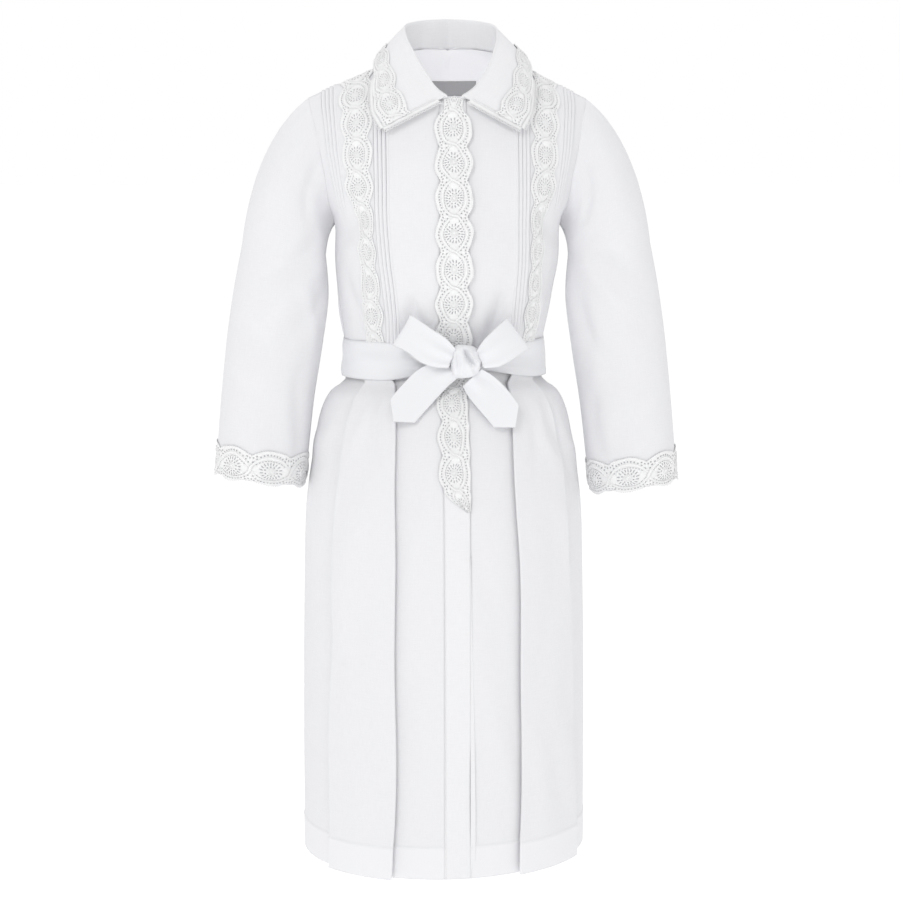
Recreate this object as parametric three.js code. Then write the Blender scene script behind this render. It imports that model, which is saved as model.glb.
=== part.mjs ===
// A white kittel, worn: a long robe with a shirt collar, pintucked fronts that open into pleats,
// lace on the fronts, collar and cuffs, and a sash tied in a bow. It keeps the form of its wearer.
import * as THREE from 'three';

// Sizes are in millimetres. +X is the viewer's right, -Y the front and +Z up.
// The origin lies midway between the two neck points, where the shoulders carry the robe.
const CLOTH = 1.2; // one layer of cloth
const COLLAR_CLOTH = 1.6; // two layers turned together
const SASH_CLOTH = 1.4;
const LACE = 1.0;
const LABEL = 0.8;
const SEAM = 0.3; // gap between pieces that are sewn together
const SIDE_SEAM = 0.4; // from the side seam to the edge of each panel
const FRONT_BAND = 18; // half the width of the button band
const TUCK_PITCH = 5.9; // four pintucks side by side
const SASH_LIFT = 3.2; // clear of tucks and lace under the sash

const COTTON = new THREE.MeshStandardMaterial({ color: 0xf3f3f6, roughness: 0.85, metalness: 0 });
const LACEWORK = new THREE.MeshStandardMaterial({ color: 0xf9f9fa, roughness: 0.8, metalness: 0 });
const SASH = new THREE.MeshStandardMaterial({ color: 0xf7f7fa, roughness: 0.55, metalness: 0 });
const TAPE = new THREE.MeshStandardMaterial({ color: 0x9a9a9c, roughness: 0.7, metalness: 0 });

function table(columns, rows) {
  return rows.map((row) => Object.fromEntries(columns.map((column, i) => [column, row[i]])));
}

// Each section runs from an inner point, on the centre or neckline, to an outer one, on the side
// seam, armhole or shoulder seam. wrap is how far round it turns by then, in degrees.
const SECTION = ['name', 'inX', 'inY', 'inZ', 'outX', 'outY', 'outZ', 'wrap'];
const BODY = table(['name', 'z', 'halfWidth', 'front', 'back'], [
  ['hem', -1150, 208, 167, 160],
  ['hem stitching', -1104, 208, 167, 159],
  ['calf', -930, 207, 165, 157],
  ['knee', -760, 204, 162, 154],
  ['thigh', -640, 200, 157, 148],
  ['hip', -560, 190, 146, 138],
  ['upper hip', -504, 181, 132, 126],
  ['flare', -472, 168, 120, 113],
  ['sash bottom', -455, 148, 107, 99],
  ['waist', -428, 142, 102.5, 94],
  ['sash top', -400, 142.5, 103, 94],
  ['ribs', -350, 151, 112, 100],
  ['bust', -290, 159, 120, 106],
  ['armpit', -238, 160, 119, 108],
]);
const FRONT = [
  ...BODY.map((b) => ({ inX: 0, inY: -b.front, inZ: b.z, outX: b.halfWidth, outY: -SIDE_SEAM,
    outZ: b.z, wrap: 90 })),
  ...table(SECTION, [
    ['low armhole', 0, -115, -195, 169, -25, -205, 78],
    ['chest', 0, -108, -150, 174, -36, -168, 66],
    ['high chest', 0, -98, -108, 180, -37, -136, 58],
    ['neck front', 0, -88, -61, 186, -32, -110, 52],
    ['collarbone', 32, -76, -54, 189, -27, -95, 46],
    ['neck curve', 54, -54, -40, 192, -21, -80, 40],
    ['neck side', 66, -33, -18, 194, -15, -70, 35],
    ['shoulder seam', 72, -14.2, -4, 195, -10.5, -62, 30],
  ]),
];
const BACK = [
  ...BODY.map((b) => ({ inX: 0, inY: b.back, inZ: b.z, outX: b.halfWidth, outY: SIDE_SEAM,
    outZ: b.z, wrap: 90 })),
  ...table(SECTION, [
    ['low armhole', 0, 108, -190, 168, 24, -205, 78],
    ['shoulder blade', 0, 106, -142, 172, 38, -168, 66],
    ['upper blade', 0, 100, -92, 177, 42, -136, 58],
    ['upper back', 0, 86, -38, 182, 40, -112, 52],
    ['neck back', 0, 62, 8, 186, 34, -95, 46],
    ['neck curve', 40, 46, 8, 190, 24, -80, 40],
    ['neck side', 66, 18, 2, 193, 8, -68, 35],
    ['shoulder seam', 72, -12.7, -3.6, 195, -8, -61.6, 30],
  ]),
];
const ARMPIT_ROW = 13;
const NECK_FRONT_ROW = 17;
const NECK_BACK_ROW = 18;
const SHOULDER_ROW = 21;

// Where the tucks and pleats lie in each section. pitch is the step between a pleat's layers and
// under its depth; fold says that it overlaps, sink how far the plain panels give way to it.
const FOLDS = table(
  ['name', 'start', 'tuck', 'side', 'backTuck', 'backSide', 'pitch', 'under', 'fold', 'sink',
    'tuckHeight', 'sideHeight'], [
    ['hem', 18.3, 90, 176, 74, 168, 5, 30, 1, 0, 0, 0],
    ['hem stitching', 18.3, 89, 175, 73, 167, 5, 30, 1, 0, 0, 0],
    ['calf', 18.3, 87, 169, 71, 162, 5, 30, 1, 0, 0, 0],
    ['knee', 18.3, 84, 163, 69, 157, 4.8, 28, 1, 0, 0, 0],
    ['thigh', 18.3, 81, 159, 67, 153, 4.6, 26, 1, 0, 0, 0],
    ['hip', 18.3, 80, 153, 66, 146, 4.4, 24, 1, 0.1, 0, 0],
    ['upper hip', 18.3, 80, 144, 66, 136, 4, 22, 1, 0.35, 0, 0],
    ['flare', 18.3, 80, 133, 66, 124, 3.6, 19, 1, 0.7, 0, 0],
    ['sash bottom', 18.3, 79, 120, 65, 112, 3.1, 16, 1, 1, 0, 0],
    ['waist', 18.3, 79, 118, 65, 110, 3.1, 16, 0, 1, 0, 0],
    ['sash top', 18.3, 80, 120, 66, 112, 0, 16, 0, 0, 2, 0],
    ['ribs', 18.3, 83, 128, 70, 120, 0, 16, 0, 0, 2, 0],
    ['bust', 18.3, 86, 136, 74, 130, 0, 16, 0, 0, 2, 0],
    ['armpit', 18.3, 86, 138, 76, 136, 0, 16, 0, 0, 2, 0],
    ['low armhole', 18.3, 86, 144, 78, 142, 0, 16, 0, 0, 2, 0],
    ['chest', 18.3, 86, 149, 80, 146, 0, 16, 0, 0, 2, 1.2],
    ['high chest', 18.3, 86, 152.5, 82, 148, 0, 16, 0, 0, 2, 2],
    ['neck front', 18.3, 86, 154.5, 84, 150, 0, 16, 0, 0, 2, 2],
    ['collarbone', 32, 86, 155.5, 86, 152, 0, 16, 0, 0, 2, 2],
    ['neck curve', 54, 86, 156.5, 88, 154, 0, 16, 0, 0, 2, 2],
    ['neck side', 66, 86, 156.5, 90, 156, 0, 16, 0, 0, 2, 2],
    ['shoulder seam', 72, 86, 156.5, 92, 158, 0, 16, 0, 0, 2, 2],
  ]);

// A pleat's path from the plain panel to the raised one: its place is under * depth + reach, and
// its height is level * pitch.
const PLEAT_PATH = table(['depth', 'reach', 'level'], [
  [0, -8, 0],
  [1, 0, 0],
  [1, 2, 0.5],
  [1, 0, 1],
  [0.5, 0, 1],
  [0, 2, 1],
  [0, 0, 1.5],
  [0, 2, 2],
  [0, 9, 2],
]);
const BACK_PLEAT_PATH = PLEAT_PATH.filter((_, i) => i !== 0 && i !== 4 && i !== 8);

const radians = THREE.MathUtils.degToRad;
const vector = (x, y, z) => new THREE.Vector3(x, y, z);
const mix = THREE.MathUtils.lerp;
const upTo = (count) => Array.from({ length: count + 1 }, (_, i) => i);

// A smooth value between the rows of a table, or a straight one where the rows make folds.
function smooth(rows, column, t) {
  const i = Math.min(Math.floor(t), rows.length - 2);
  const value = (k) => rows[THREE.MathUtils.clamp(k, 0, rows.length - 1)][column];
  const [a, b, c, d] = [value(i - 1), value(i), value(i + 1), value(i + 2)];
  const s = t - i;
  return b + 0.5 * s * (c - a + s * (2 * a - 5 * b + 4 * c - d + s * (3 * (b - c) + d - a)));
}
function straight(rows, column, t) {
  const i = Math.min(Math.floor(t), rows.length - 2);
  return mix(rows[i][column], rows[i + 1][column], t - i);
}

function halfPoint(rows, t, phi) {
  const [inX, inY, inZ, outX, outY, outZ, wrap] = SECTION.slice(1).map((c) => smooth(rows, c, t));
  const turn = radians(wrap);
  const across = Math.sin(phi) / Math.sin(turn);
  const bow = (Math.cos(phi) - Math.cos(turn)) / (1 - Math.cos(turn));
  return vector(mix(inX, outX, across), mix(outY, inY, bow), mix(inZ, outZ, across));
}

function angleAt(rows, t, x) {
  const [inX, outX, wrap] = ['inX', 'outX', 'wrap'].map((c) => smooth(rows, c, t));
  return Math.asin(THREE.MathUtils.clamp(((x - inX) / (outX - inX)) * Math.sin(radians(wrap)), 0, 1));
}

// A point on one half of the body, lift mm out of it. Its normal comes from steps to each side.
function lifted(rows, t, phi, lift) {
  const step = 0.01;
  const point = halfPoint(rows, t, phi);
  const across = halfPoint(rows, t, phi + step).sub(halfPoint(rows, t, phi - step));
  const low = halfPoint(rows, Math.max(t - step, 0), phi);
  const up = halfPoint(rows, Math.min(t + step, SHOULDER_ROW), phi).sub(low);
  const normal = across.clone().cross(up).normalize();
  if (rows === BACK) normal.negate();
  return { point: point.addScaledVector(normal, lift), normal, reach: across.length() / (2 * step) };
}

// The wearer's chest is turned and set a little to one side of the skirt, and the neck more so.
const CHEST_TURN = radians(-2.5);
const CHEST_SHIFT = 5;
const NECK_SHIFT = 5;
function posed(point, level = point.z) {
  const chest = THREE.MathUtils.smoothstep(level, -420, -240);
  const neck = THREE.MathUtils.smoothstep(level, -95, -25)
    * (1 - THREE.MathUtils.smoothstep(Math.abs(point.x), 105, 180));
  const turned = point.applyAxisAngle(vector(0, 0, 1), CHEST_TURN * chest);
  return turned.setX(turned.x + CHEST_SHIFT * chest + NECK_SHIFT * neck);
}

// The sleeves go with the chest, and the wearer's left one hangs a little lower.
const SLEEVE_DROP = 8;
function posedSleeve(point) {
  const drop = SLEEVE_DROP * THREE.MathUtils.smoothstep(-point.z, 240, 600);
  point.setZ(point.z - Math.sign(point.x) * drop);
  return posed(point, -200);
}

// The angle and height of each column of a half panel, from the centre to the side.
function foldColumns(rows, t, path, tuckColumn, sideColumn, gaps) {
  const value = (column) => straight(FOLDS, column, t);
  const [pitch, under, fold] = ['pitch', 'under', 'fold'].map(value);
  const plain = -2 * pitch * value('sink');
  const group = (line, sign, bumps) => {
    const centre = angleAt(rows, t, value(line));
    const { reach } = lifted(rows, t, centre, 0);
    const steps = sign > 0 ? path : [...path].reverse();
    return steps.map((p, i) => {
      const flat = (i * TUCK_PITCH) / 2;
      const folded = sign * (under * p.depth + p.reach);
      const relief = i % 2 ? bumps : 0;
      return { phi: centre + mix(flat, folded, fold) / reach, lift: plain + p.level * pitch, relief };
    });
  };
  const tucks = group(tuckColumn, 1, rows === FRONT ? value('tuckHeight') : 0);
  const sides = group(sideColumn, -1, rows === FRONT ? value('sideHeight') : 0);
  const start = rows === FRONT ? angleAt(rows, t, value('start')) : 0;
  const end = radians(smooth(rows, 'wrap', t));
  const between = (from, to, count, lift) => upTo(count).slice(1, -1).map((i) => (
    { phi: mix(from, to, i / count), lift, relief: 0 }));
  return [
    { phi: start, lift: plain, relief: 0 },
    ...between(start, tucks[0].phi, gaps.centre, plain),
    ...tucks,
    ...between(tucks.at(-1).phi, sides[0].phi, gaps.middle, plain + 2 * pitch),
    ...sides,
    ...between(sides.at(-1).phi, end, gaps.side, plain),
    { phi: end, lift: plain, relief: 0 },
  ];
}

// A sheet is a net of points with faces that look outwards. relief raises its outer face alone.
function netFaces(rowCount, columnCount, flipped = false, closed = false) {
  const faces = [];
  const last = closed ? columnCount : columnCount - 1;
  for (let row = 0; row < rowCount - 1; row += 1) {
    for (let column = 0; column < last; column += 1) {
      const next = (column + 1) % columnCount;
      const [a, b] = [row * columnCount + column, row * columnCount + next];
      const [c, d] = [b + columnCount, a + columnCount];
      faces.push(...(flipped ? [[a, c, b], [a, d, c]] : [[a, b, c], [a, c, d]]));
    }
  }
  return faces;
}

function netSheet(net, flipped = false, closed = false) {
  return {
    points: net.flat().map((p) => p.point ?? p),
    relief: net.flat().map((p) => p.relief ?? 0),
    faces: netFaces(net.length, net[0].length, flipped, closed),
  };
}

function mirrored(sheet) {
  return {
    points: sheet.points.map((p) => vector(-p.x, p.y, p.z)),
    relief: [...sheet.relief],
    faces: sheet.faces.map(([a, b, c]) => [a, c, b]),
  };
}

// Joins sheets, and makes one point of those that lie together.
function joined(...sheets) {
  const out = { points: [], relief: [], faces: [] };
  const known = new Map();
  for (const sheet of sheets) {
    const place = sheet.points.map((p, i) => {
      const key = [p.x, p.y, p.z].map((value) => Math.round(value * 1000)).join();
      if (!known.has(key)) {
        known.set(key, out.points.length);
        out.points.push(p);
        out.relief.push(sheet.relief[i]);
      }
      return known.get(key);
    });
    out.faces.push(...sheet.faces.map((face) => face.map((i) => place[i])));
  }
  return out;
}

function sheetNormals({ points, faces }) {
  const normals = points.map(() => vector(0, 0, 0));
  for (const [a, b, c] of faces) {
    const ab = points[b].clone().sub(points[a]);
    const normal = ab.cross(points[c].clone().sub(points[a])).normalize();
    [a, b, c].forEach((i) => normals[i].add(normal));
  }
  return normals.map((n) => n.normalize());
}

// Gives a sheet its wall and closes it along its edges.
function clothPiece(name, sheet, wall, material, rise = 0, pose = posed) {
  const { points, relief, faces } = sheet;
  const normals = sheetNormals(sheet);
  const moved = (i, distance) => pose(points[i].clone().addScaledVector(normals[i], distance));
  const outer = points.map((_, i) => moved(i, rise + relief[i]));
  const inner = points.map((_, i) => moved(i, rise - wall));
  const count = points.length;
  const triangles = [...faces, ...faces.map(([a, b, c]) => [a + count, c + count, b + count])];
  const edges = new Set(faces.flatMap(([a, b, c]) => [`${a},${b}`, `${b},${c}`, `${c},${a}`]));
  for (const edge of edges) {
    const [a, b] = edge.split(',').map(Number);
    if (!edges.has(`${b},${a}`)) triangles.push([b, a, a + count], [b, a + count, b + count]);
  }
  const geometry = new THREE.BufferGeometry();
  geometry.setAttribute('position',
    new THREE.Float32BufferAttribute([...outer, ...inner].flatMap((p) => [p.x, p.y, p.z]), 3));
  geometry.setIndex(triangles.flat());
  geometry.computeVertexNormals();
  const mesh = new THREE.Mesh(geometry, material);
  mesh.name = name;
  return mesh;
}

// Fronts and back
const FRONT_GAPS = { centre: 3, middle: 4, side: 3 };
const BACK_GAPS = { centre: 2, middle: 3, side: 3 };

function panelNet(rows, path, tuckColumn, sideColumn, gaps) {
  return rows.map((_, t) => foldColumns(rows, t, path, tuckColumn, sideColumn, gaps)
    .map(({ phi, lift, relief }) => ({ point: lifted(rows, t, phi, lift).point, relief })));
}

function panels() {
  const front = netSheet(panelNet(FRONT, PLEAT_PATH, 'tuck', 'side', FRONT_GAPS));
  const net = panelNet(BACK, BACK_PLEAT_PATH, 'backTuck', 'backSide', BACK_GAPS);
  net.slice(0, NECK_BACK_ROW + 1).forEach((row) => row[0].point.setX(0));
  const halfBack = netSheet(net, true);
  return [
    clothPiece('front_right', mirrored(front), CLOTH, COTTON),
    clothPiece('front_left', front, CLOTH, COTTON),
    clothPiece('back', joined(halfBack, mirrored(halfBack)), CLOTH, COTTON),
    neckLabel(net),
  ];
}

// The plain level of the centre panel, where the button band and its lace lie.
const centreLift = (t) => -2 * straight(FOLDS, 'pitch', t) * straight(FOLDS, 'sink', t);

// Between its rows a panel is straight, so what lies on it is too.
function onPanel(t, place) {
  const row = Math.min(Math.floor(t), SHOULDER_ROW - 1);
  return place(row).lerp(place(row + 1), t - row);
}

function frontPoint(t, x, lift) {
  const place = (row) => lifted(FRONT, row, angleAt(FRONT, row, Math.abs(x)),
    centreLift(row) + lift).point;
  const point = onPanel(t, place);
  return vector(x < 0 ? -point.x : point.x, point.y, point.z);
}

// The button band lies between the two fronts, and the band that it buttons to lies behind it.
const UNDER_BAND = { from: 1 - FRONT_BAND, to: FRONT_BAND + 7, lift: -CLOTH - 0.9 };
function buttonBands() {
  const strip = ({ from, to, lift }) => netSheet(
    upTo(NECK_FRONT_ROW).map((t) => [from, 0, to].map((x) => frontPoint(t, x, lift))));
  const top = { from: -FRONT_BAND, to: FRONT_BAND, lift: 0 };
  return [
    clothPiece('button_band', strip(top), CLOTH, COTTON),
    clothPiece('under_band', strip(UNDER_BAND), CLOTH, COTTON),
  ];
}

// Lace. One repeat is a lobe on each edge of the strip, and a strip starts inside a lobe.
const LACE_STEPS = 8; // points along one repeat
const LACE_PHASE = 0.625;
const CENTRE_LACE_REPEATS = 12;
const SCALLOP = 7.5;
const scallop = (phase) => SCALLOP * (Math.abs(Math.sin(Math.PI * phase)) - 0.5);

// Rows at even steps down a line on the front, and how far along its repeats each one is.
function evenRows(topRow, bottomRow, line, steps) {
  const samples = upTo(400).map((i) => mix(topRow, bottomRow, i / 400));
  const lengths = [0];
  for (let i = 1; i < samples.length; i += 1) {
    lengths.push(lengths[i - 1] + line(samples[i]).distanceTo(line(samples[i - 1])));
  }
  const total = lengths.at(-1);
  return upTo(steps).map((k) => {
    const target = (total * k) / steps;
    const i = Math.max(lengths.findIndex((length) => length >= target - 1e-6), 1);
    const share = (target - lengths[i - 1]) / (lengths[i] - lengths[i - 1]);
    return { t: mix(samples[i - 1], samples[i], share), along: k / LACE_STEPS };
  });
}

const LACE_TOP_ROW = 16.97;
const LACE_END_ROW = 4.15; // the centre lace is cut off at a slant above the thigh
const SLANT = 0.6; // repeats
const LACE_HALF = 21.5;
const LACE_LIFT = 0.8; // clear of the straight stretches of what is under it
const LACE_TOP = { half: 12.5, from: 0.25, to: 0.5 }; // gathered in under the collar
const CUT_END = FRONT_BAND - 5; // where the slanted cut stops
function centreLace() {
  const rows = evenRows(LACE_TOP_ROW, LACE_END_ROW, (t) => frontPoint(t, 0, 0),
    CENTRE_LACE_REPEATS * LACE_STEPS);
  const end = rows.at(-1).along;
  const net = rows.map(({ t, along }) => {
    const open = THREE.MathUtils.smoothstep(along, LACE_TOP.from, LACE_TOP.to);
    const half = mix(LACE_TOP.half, LACE_HALF + scallop(along + LACE_PHASE), open);
    const cut = Math.max(0, 1 - (end - along) / SLANT);
    const left = mix(-half, CUT_END, cut);
    const skirt = THREE.MathUtils.smoothstep(-t, -8, -7);
    const right = mix(half, FRONT_BAND, skirt);
    const inside = [-FRONT_BAND, 0, FRONT_BAND].map((x, i) => (
      THREE.MathUtils.clamp(x, left + 1 + i, right - 3 + i)));
    return [left, ...inside, right].map((x) => frontPoint(t, x, LACE_LIFT));
  });
  return clothPiece('centre_lace', netSheet(net, true), LACE, LACEWORK, LACE);
}

// The side lace lies on the panel between the two groups of tucks.
const SIDE_LACE_MIDDLE = 49.8; // from the inner edge of the tucks
const SIDE_LACE_END_ROW = 10;
const SIDE_LACE_LIFT = 1.5;
const SIDE_LACE_REPEATS = 9;
function besideTucks(t, across, lift) {
  return onPanel(t, (row) => {
    const tuck = angleAt(FRONT, row, FOLDS[row].tuck);
    const { reach } = lifted(FRONT, row, tuck, 0);
    return lifted(FRONT, row, tuck + across / reach, lift).point;
  });
}

function sideLace() {
  const line = (t) => besideTucks(t, SIDE_LACE_MIDDLE, 0);
  const rows = evenRows(SHOULDER_ROW - 0.1, SIDE_LACE_END_ROW, line,
    SIDE_LACE_REPEATS * LACE_STEPS);
  const net = rows.map(({ t, along }) => {
    const half = LACE_HALF + scallop(along + LACE_PHASE);
    return [-1, -1 / 3, 1 / 3, 1].map((across) => (
      besideTucks(t, SIDE_LACE_MIDDLE + across * half, SIDE_LACE_LIFT)));
  });
  const sheet = netSheet(net, true);
  return [
    clothPiece('side_lace_right', mirrored(sheet), LACE, LACEWORK, LACE),
    clothPiece('side_lace_left', sheet, LACE, LACEWORK, LACE),
  ];
}

// Sleeves: the armhole, then rings round a hanging arm.
const SLEEVE = table(['name', 'x', 'y', 'z', 'halfWidth', 'halfDepth'], [
  ['under the arm', 232, -4, -272, 59.5, 50],
  ['upper arm', 236, -6, -330, 67, 52],
  ['elbow', 246, -8, -400, 68, 52],
  ['forearm', 257, -11, -480, 66, 50],
  ['wrist', 265, -15, -556, 65, 48],
  ['cuff', 270.5, -18, -604, 63.5, 46],
]);
const SLEEVE_TILT = radians(8);
const SLEEVE_COLUMNS = 16;
// The sleeve's head leaves the armhole outwards and down, and turns down along the arm.
const CAP = { steps: 5, frontLean: 0.28, fall: 0.72, underarmFall: 0.5, leave: 0.29, arrive: 0.38 };

function sleeveRing(section, column, rise = 0) {
  const value = (name) => smooth(SLEEVE, name, section);
  const around = (2 * Math.PI * column) / SLEEVE_COLUMNS;
  const out = Math.cos(around) * (value('halfWidth') + rise);
  return vector(
    value('x') + out * Math.cos(SLEEVE_TILT),
    value('y') - Math.sin(around) * (value('halfDepth') + rise),
    value('z') + out * Math.sin(SLEEVE_TILT),
  );
}

// The armhole runs from the shoulder down the front to the armpit, and up the back.
function armhole() {
  const edge = (rows, row) => halfPoint(rows, row, radians(rows[row].wrap));
  const down = upTo(SHOULDER_ROW - ARMPIT_ROW).map((i) => edge(FRONT, SHOULDER_ROW - i));
  const up = upTo(SHOULDER_ROW - ARMPIT_ROW).slice(1, -1).map((i) => edge(BACK, ARMPIT_ROW + i));
  return [...down, ...up];
}

function sleeveNet() {
  const hole = armhole();
  const axis = vector(0.12, 0, -1).normalize();
  const cap = upTo(CAP.steps).slice(0, -1).map((step) => hole.map((start, column) => {
    const around = (2 * Math.PI * column) / SLEEVE_COLUMNS;
    const lower = (1 - Math.cos(around)) / 2;
    const end = sleeveRing(0, column);
    const span = start.distanceTo(end);
    const fall = CAP.fall + CAP.underarmFall * lower;
    const away = vector(1, -CAP.frontLean * Math.sin(around), -fall).normalize();
    const from = start.clone().addScaledVector(away, 2 * SEAM);
    const first = from.clone().addScaledVector(away, span * CAP.leave);
    const second = end.clone().addScaledVector(axis, -span * CAP.arrive);
    return new THREE.CubicBezierCurve3(from, first, second, end).getPoint(step / CAP.steps);
  }));
  const rings = SLEEVE.map((_, section) => hole.map((__, column) => sleeveRing(section, column)));
  return [...cap, ...rings];
}

const CUFF_LOBES = 7;
const CUFF_STEPS = 6; // points round one lobe
const CUFF_TOP = 4.1; // sections down the sleeve
const CUFF_LIFT = 1.2; // above the sleeve
const CUFF_SLOPE = 0.1;
function cuffSheet() {
  const columns = CUFF_LOBES * CUFF_STEPS;
  const net = [0, 0.5, 1].map((down) => upTo(columns - 1).map((i) => {
    const column = (SLEEVE_COLUMNS * i) / columns;
    const lobe = scallop(i / CUFF_STEPS) * (2 * down - 1);
    const section = mix(CUFF_TOP, SLEEVE.length - 1, down);
    return sleeveRing(section, column, CUFF_LIFT).add(vector(CUFF_SLOPE * lobe, 0, -lobe));
  }));
  return netSheet(net, false, true);
}

function sleeves() {
  const tube = netSheet(sleeveNet(), false, true);
  const cuff = cuffSheet();
  return [
    clothPiece('sleeve_right', mirrored(tube), CLOTH, COTTON, 0, posedSleeve),
    clothPiece('sleeve_left', tube, CLOTH, COTTON, 0, posedSleeve),
    clothPiece('cuff_lace_right', mirrored(cuff), LACE, LACEWORK, LACE, posedSleeve),
    clothPiece('cuff_lace_left', cuff, LACE, LACEWORK, LACE, posedSleeve),
  ];
}

// Collar. At each station a stand rises from the neckline to the fold, and a leaf falls from it.
const COLLAR = table(
  ['name', 'seamX', 'seamY', 'seamZ', 'foldX', 'foldY', 'foldZ', 'edgeX', 'edgeY', 'edgeZ'], [
    ['front end', 16, -88, -66, 11, -95, -60, 95, -92, -104],
    ['front', 32, -76, -54, 27, -87, -48, 107, -80, -82],
    ['front curve', 54, -54, -40, 45, -66, -22, 111, -60, -55],
    ['front side', 66, -33, -18, 58, -41, 6, 110, -37, -26],
    ['side', 72, -14, -4, 64, -14, 24, 108, -10, -12],
    ['back side', 66, 18, 2, 63, 18, 40, 98, 38, -12],
    ['back curve', 40, 46, 8, 38, 46, 48, 64, 76, -10],
    ['back', 0, 62, 8, 0, 58, 51, 0, 94, -14],
  ]);
const COLLAR_FOLD = 3; // half the gap inside the fold
const LEAF_BULGE = 4;
const LEAF_STEPS = 5;

const corner = (row, name) => vector(row[`${name}X`], row[`${name}Y`], row[`${name}Z`]);

function collarStation(s) {
  const row = Object.fromEntries(Object.keys(COLLAR[0]).slice(1).map((column) => [column,
    (column.startsWith('seam') ? straight : smooth)(COLLAR, column, s)]));
  const [seam, fold, edge] = ['seam', 'fold', 'edge'].map((name) => corner(row, name));
  return { seam, fold, edge };
}

// The leaf of the collar: share 0 at the fold and 1 at its edge, lift mm above it.
function leafPoint(s, share, lift = 0) {
  const { fold, edge } = collarStation(s);
  const away = edge.clone().sub(fold).setZ(0).normalize();
  const down = edge.clone().sub(fold).normalize();
  const over = away.clone().addScaledVector(down, -away.dot(down)).normalize();
  const front = vector(0, -1, 0).multiplyScalar(Math.max(0, 1 - s / 3));
  const rise = over.multiplyScalar(Math.min(1, s / 3)).add(front).normalize();
  const bulge = LEAF_BULGE * 4 * share * (1 - share);
  const start = fold.clone().addScaledVector(away, COLLAR_FOLD).add(vector(0, 0, -COLLAR_FOLD * 0.8));
  return start.lerp(edge, share).addScaledVector(rise, bulge + lift);
}

function collarPath(s) {
  const { seam, fold, edge } = collarStation(s);
  const away = edge.clone().sub(fold).setZ(0).normalize();
  const inward = fold.clone().addScaledVector(away, -COLLAR_FOLD * 0.6);
  const base = seam.clone().add(vector(0, 0, SEAM + 0.5)).addScaledVector(away, -1);
  return [
    base,
    base.clone().lerp(inward, 0.5),
    inward.add(vector(0, 0, -COLLAR_FOLD)),
    fold.clone().add(vector(0, 0, 0.6)),
    ...upTo(LEAF_STEPS).map((i) => leafPoint(s, i / LEAF_STEPS)),
  ];
}

const STATION_STEPS = 2;
function wholeCollar(path) {
  const stations = upTo((COLLAR.length - 1) * STATION_STEPS).map((i) => path(i / STATION_STEPS));
  const other = stations.slice(0, -1).map((line) => line.map((p) => vector(-p.x, p.y, p.z)));
  return netSheet([...other, ...stations.reverse()], true);
}

const COLLAR_LACE = { share: 0.56, end: 0.06, lift: 1.2, repeats: 7.5, scallop: 0.011 };
function collarLace() {
  const steps = COLLAR_LACE.repeats * LACE_STEPS;
  const half = upTo(steps).map((i) => {
    const s = mix(COLLAR.length - 1, COLLAR_LACE.end, i / steps);
    const inner = COLLAR_LACE.share - COLLAR_LACE.scallop * scallop(i / LACE_STEPS);
    const low = Math.min(Math.floor(s * STATION_STEPS) / STATION_STEPS, COLLAR.length - 1.5);
    const point = (share) => leafPoint(low, share, COLLAR_LACE.lift)
      .lerp(leafPoint(low + 1 / STATION_STEPS, share, COLLAR_LACE.lift), (s - low) * STATION_STEPS);
    return [inner, mix(inner, 1, 0.55), 1].map(point);
  });
  const other = half.slice(1).reverse().map((line) => line.map((p) => vector(-p.x, p.y, p.z)));
  return clothPiece('collar_lace', netSheet([...other, ...half], true), LACE, LACEWORK, LACE);
}

// Neck label, on the inside of the back, between two of its rows.
const LABEL_PLACE = { low: NECK_BACK_ROW - 2, high: NECK_BACK_ROW - 1, from: 0.66, to: 1 };
function neckLabel(backNet) {
  const [low, high] = [LABEL_PLACE.low, LABEL_PLACE.high].map((row) => (
    [0, 1].map((column) => backNet[row][column].point)));
  const lines = [[low[0], high[0]], [low[0], high[1]], [low[1], high[1]]];
  const net = [LABEL_PLACE.from, LABEL_PLACE.to].map((share) => (
    lines.map(([from, to]) => from.clone().lerp(to, share))));
  const half = netSheet(net, true);
  return clothPiece('neck_label', joined(half, mirrored(half)), LABEL, TAPE, -CLOTH - SEAM);
}

// Sash: a band round the waist, narrowed to the knot in front.
const SASH_TOP_ROW = 10.06;
const SASH_BOTTOM_ROW = 8.15;
const SASH_KNOT_X = 14;
const SASH_COLUMNS = 44;
const SASH_NARROW = { share: 0.42, from: 12, to: 118 }; // how it narrows beside the knot
function sashBand() {
  const net = [0, 0.5, 1].map((up) => upTo(SASH_COLUMNS - 1).map((i) => {
    const around = (2 * Math.PI * i) / SASH_COLUMNS;
    const front = Math.cos(around) > 0;
    const rows = front ? FRONT : BACK;
    const side = Math.sin(around) < 0 ? -1 : 1;
    const phi = Math.asin(Math.abs(Math.sin(around)));
    const atMiddle = lifted(rows, 9, phi, 0).point;
    const distance = front ? Math.abs(side * atMiddle.x - SASH_KNOT_X) : 200;
    const near = THREE.MathUtils.smoothstep(distance, SASH_NARROW.from, SASH_NARROW.to);
    const full = mix(SASH_NARROW.share, 1, near);
    const middleRow = (SASH_TOP_ROW + SASH_BOTTOM_ROW) / 2 + 0.1 * (1 - full);
    const t = middleRow + (up - 0.5) * (SASH_TOP_ROW - SASH_BOTTOM_ROW) * full;
    const { point } = lifted(rows, t, phi, SASH_LIFT + SASH_CLOTH);
    return vector(side * point.x, Math.abs(Math.sin(around)) === 1 ? 0 : point.y, point.z);
  }));
  return clothPiece('sash_band', netSheet(net, false, true), SASH_CLOTH, SASH);
}

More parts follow.
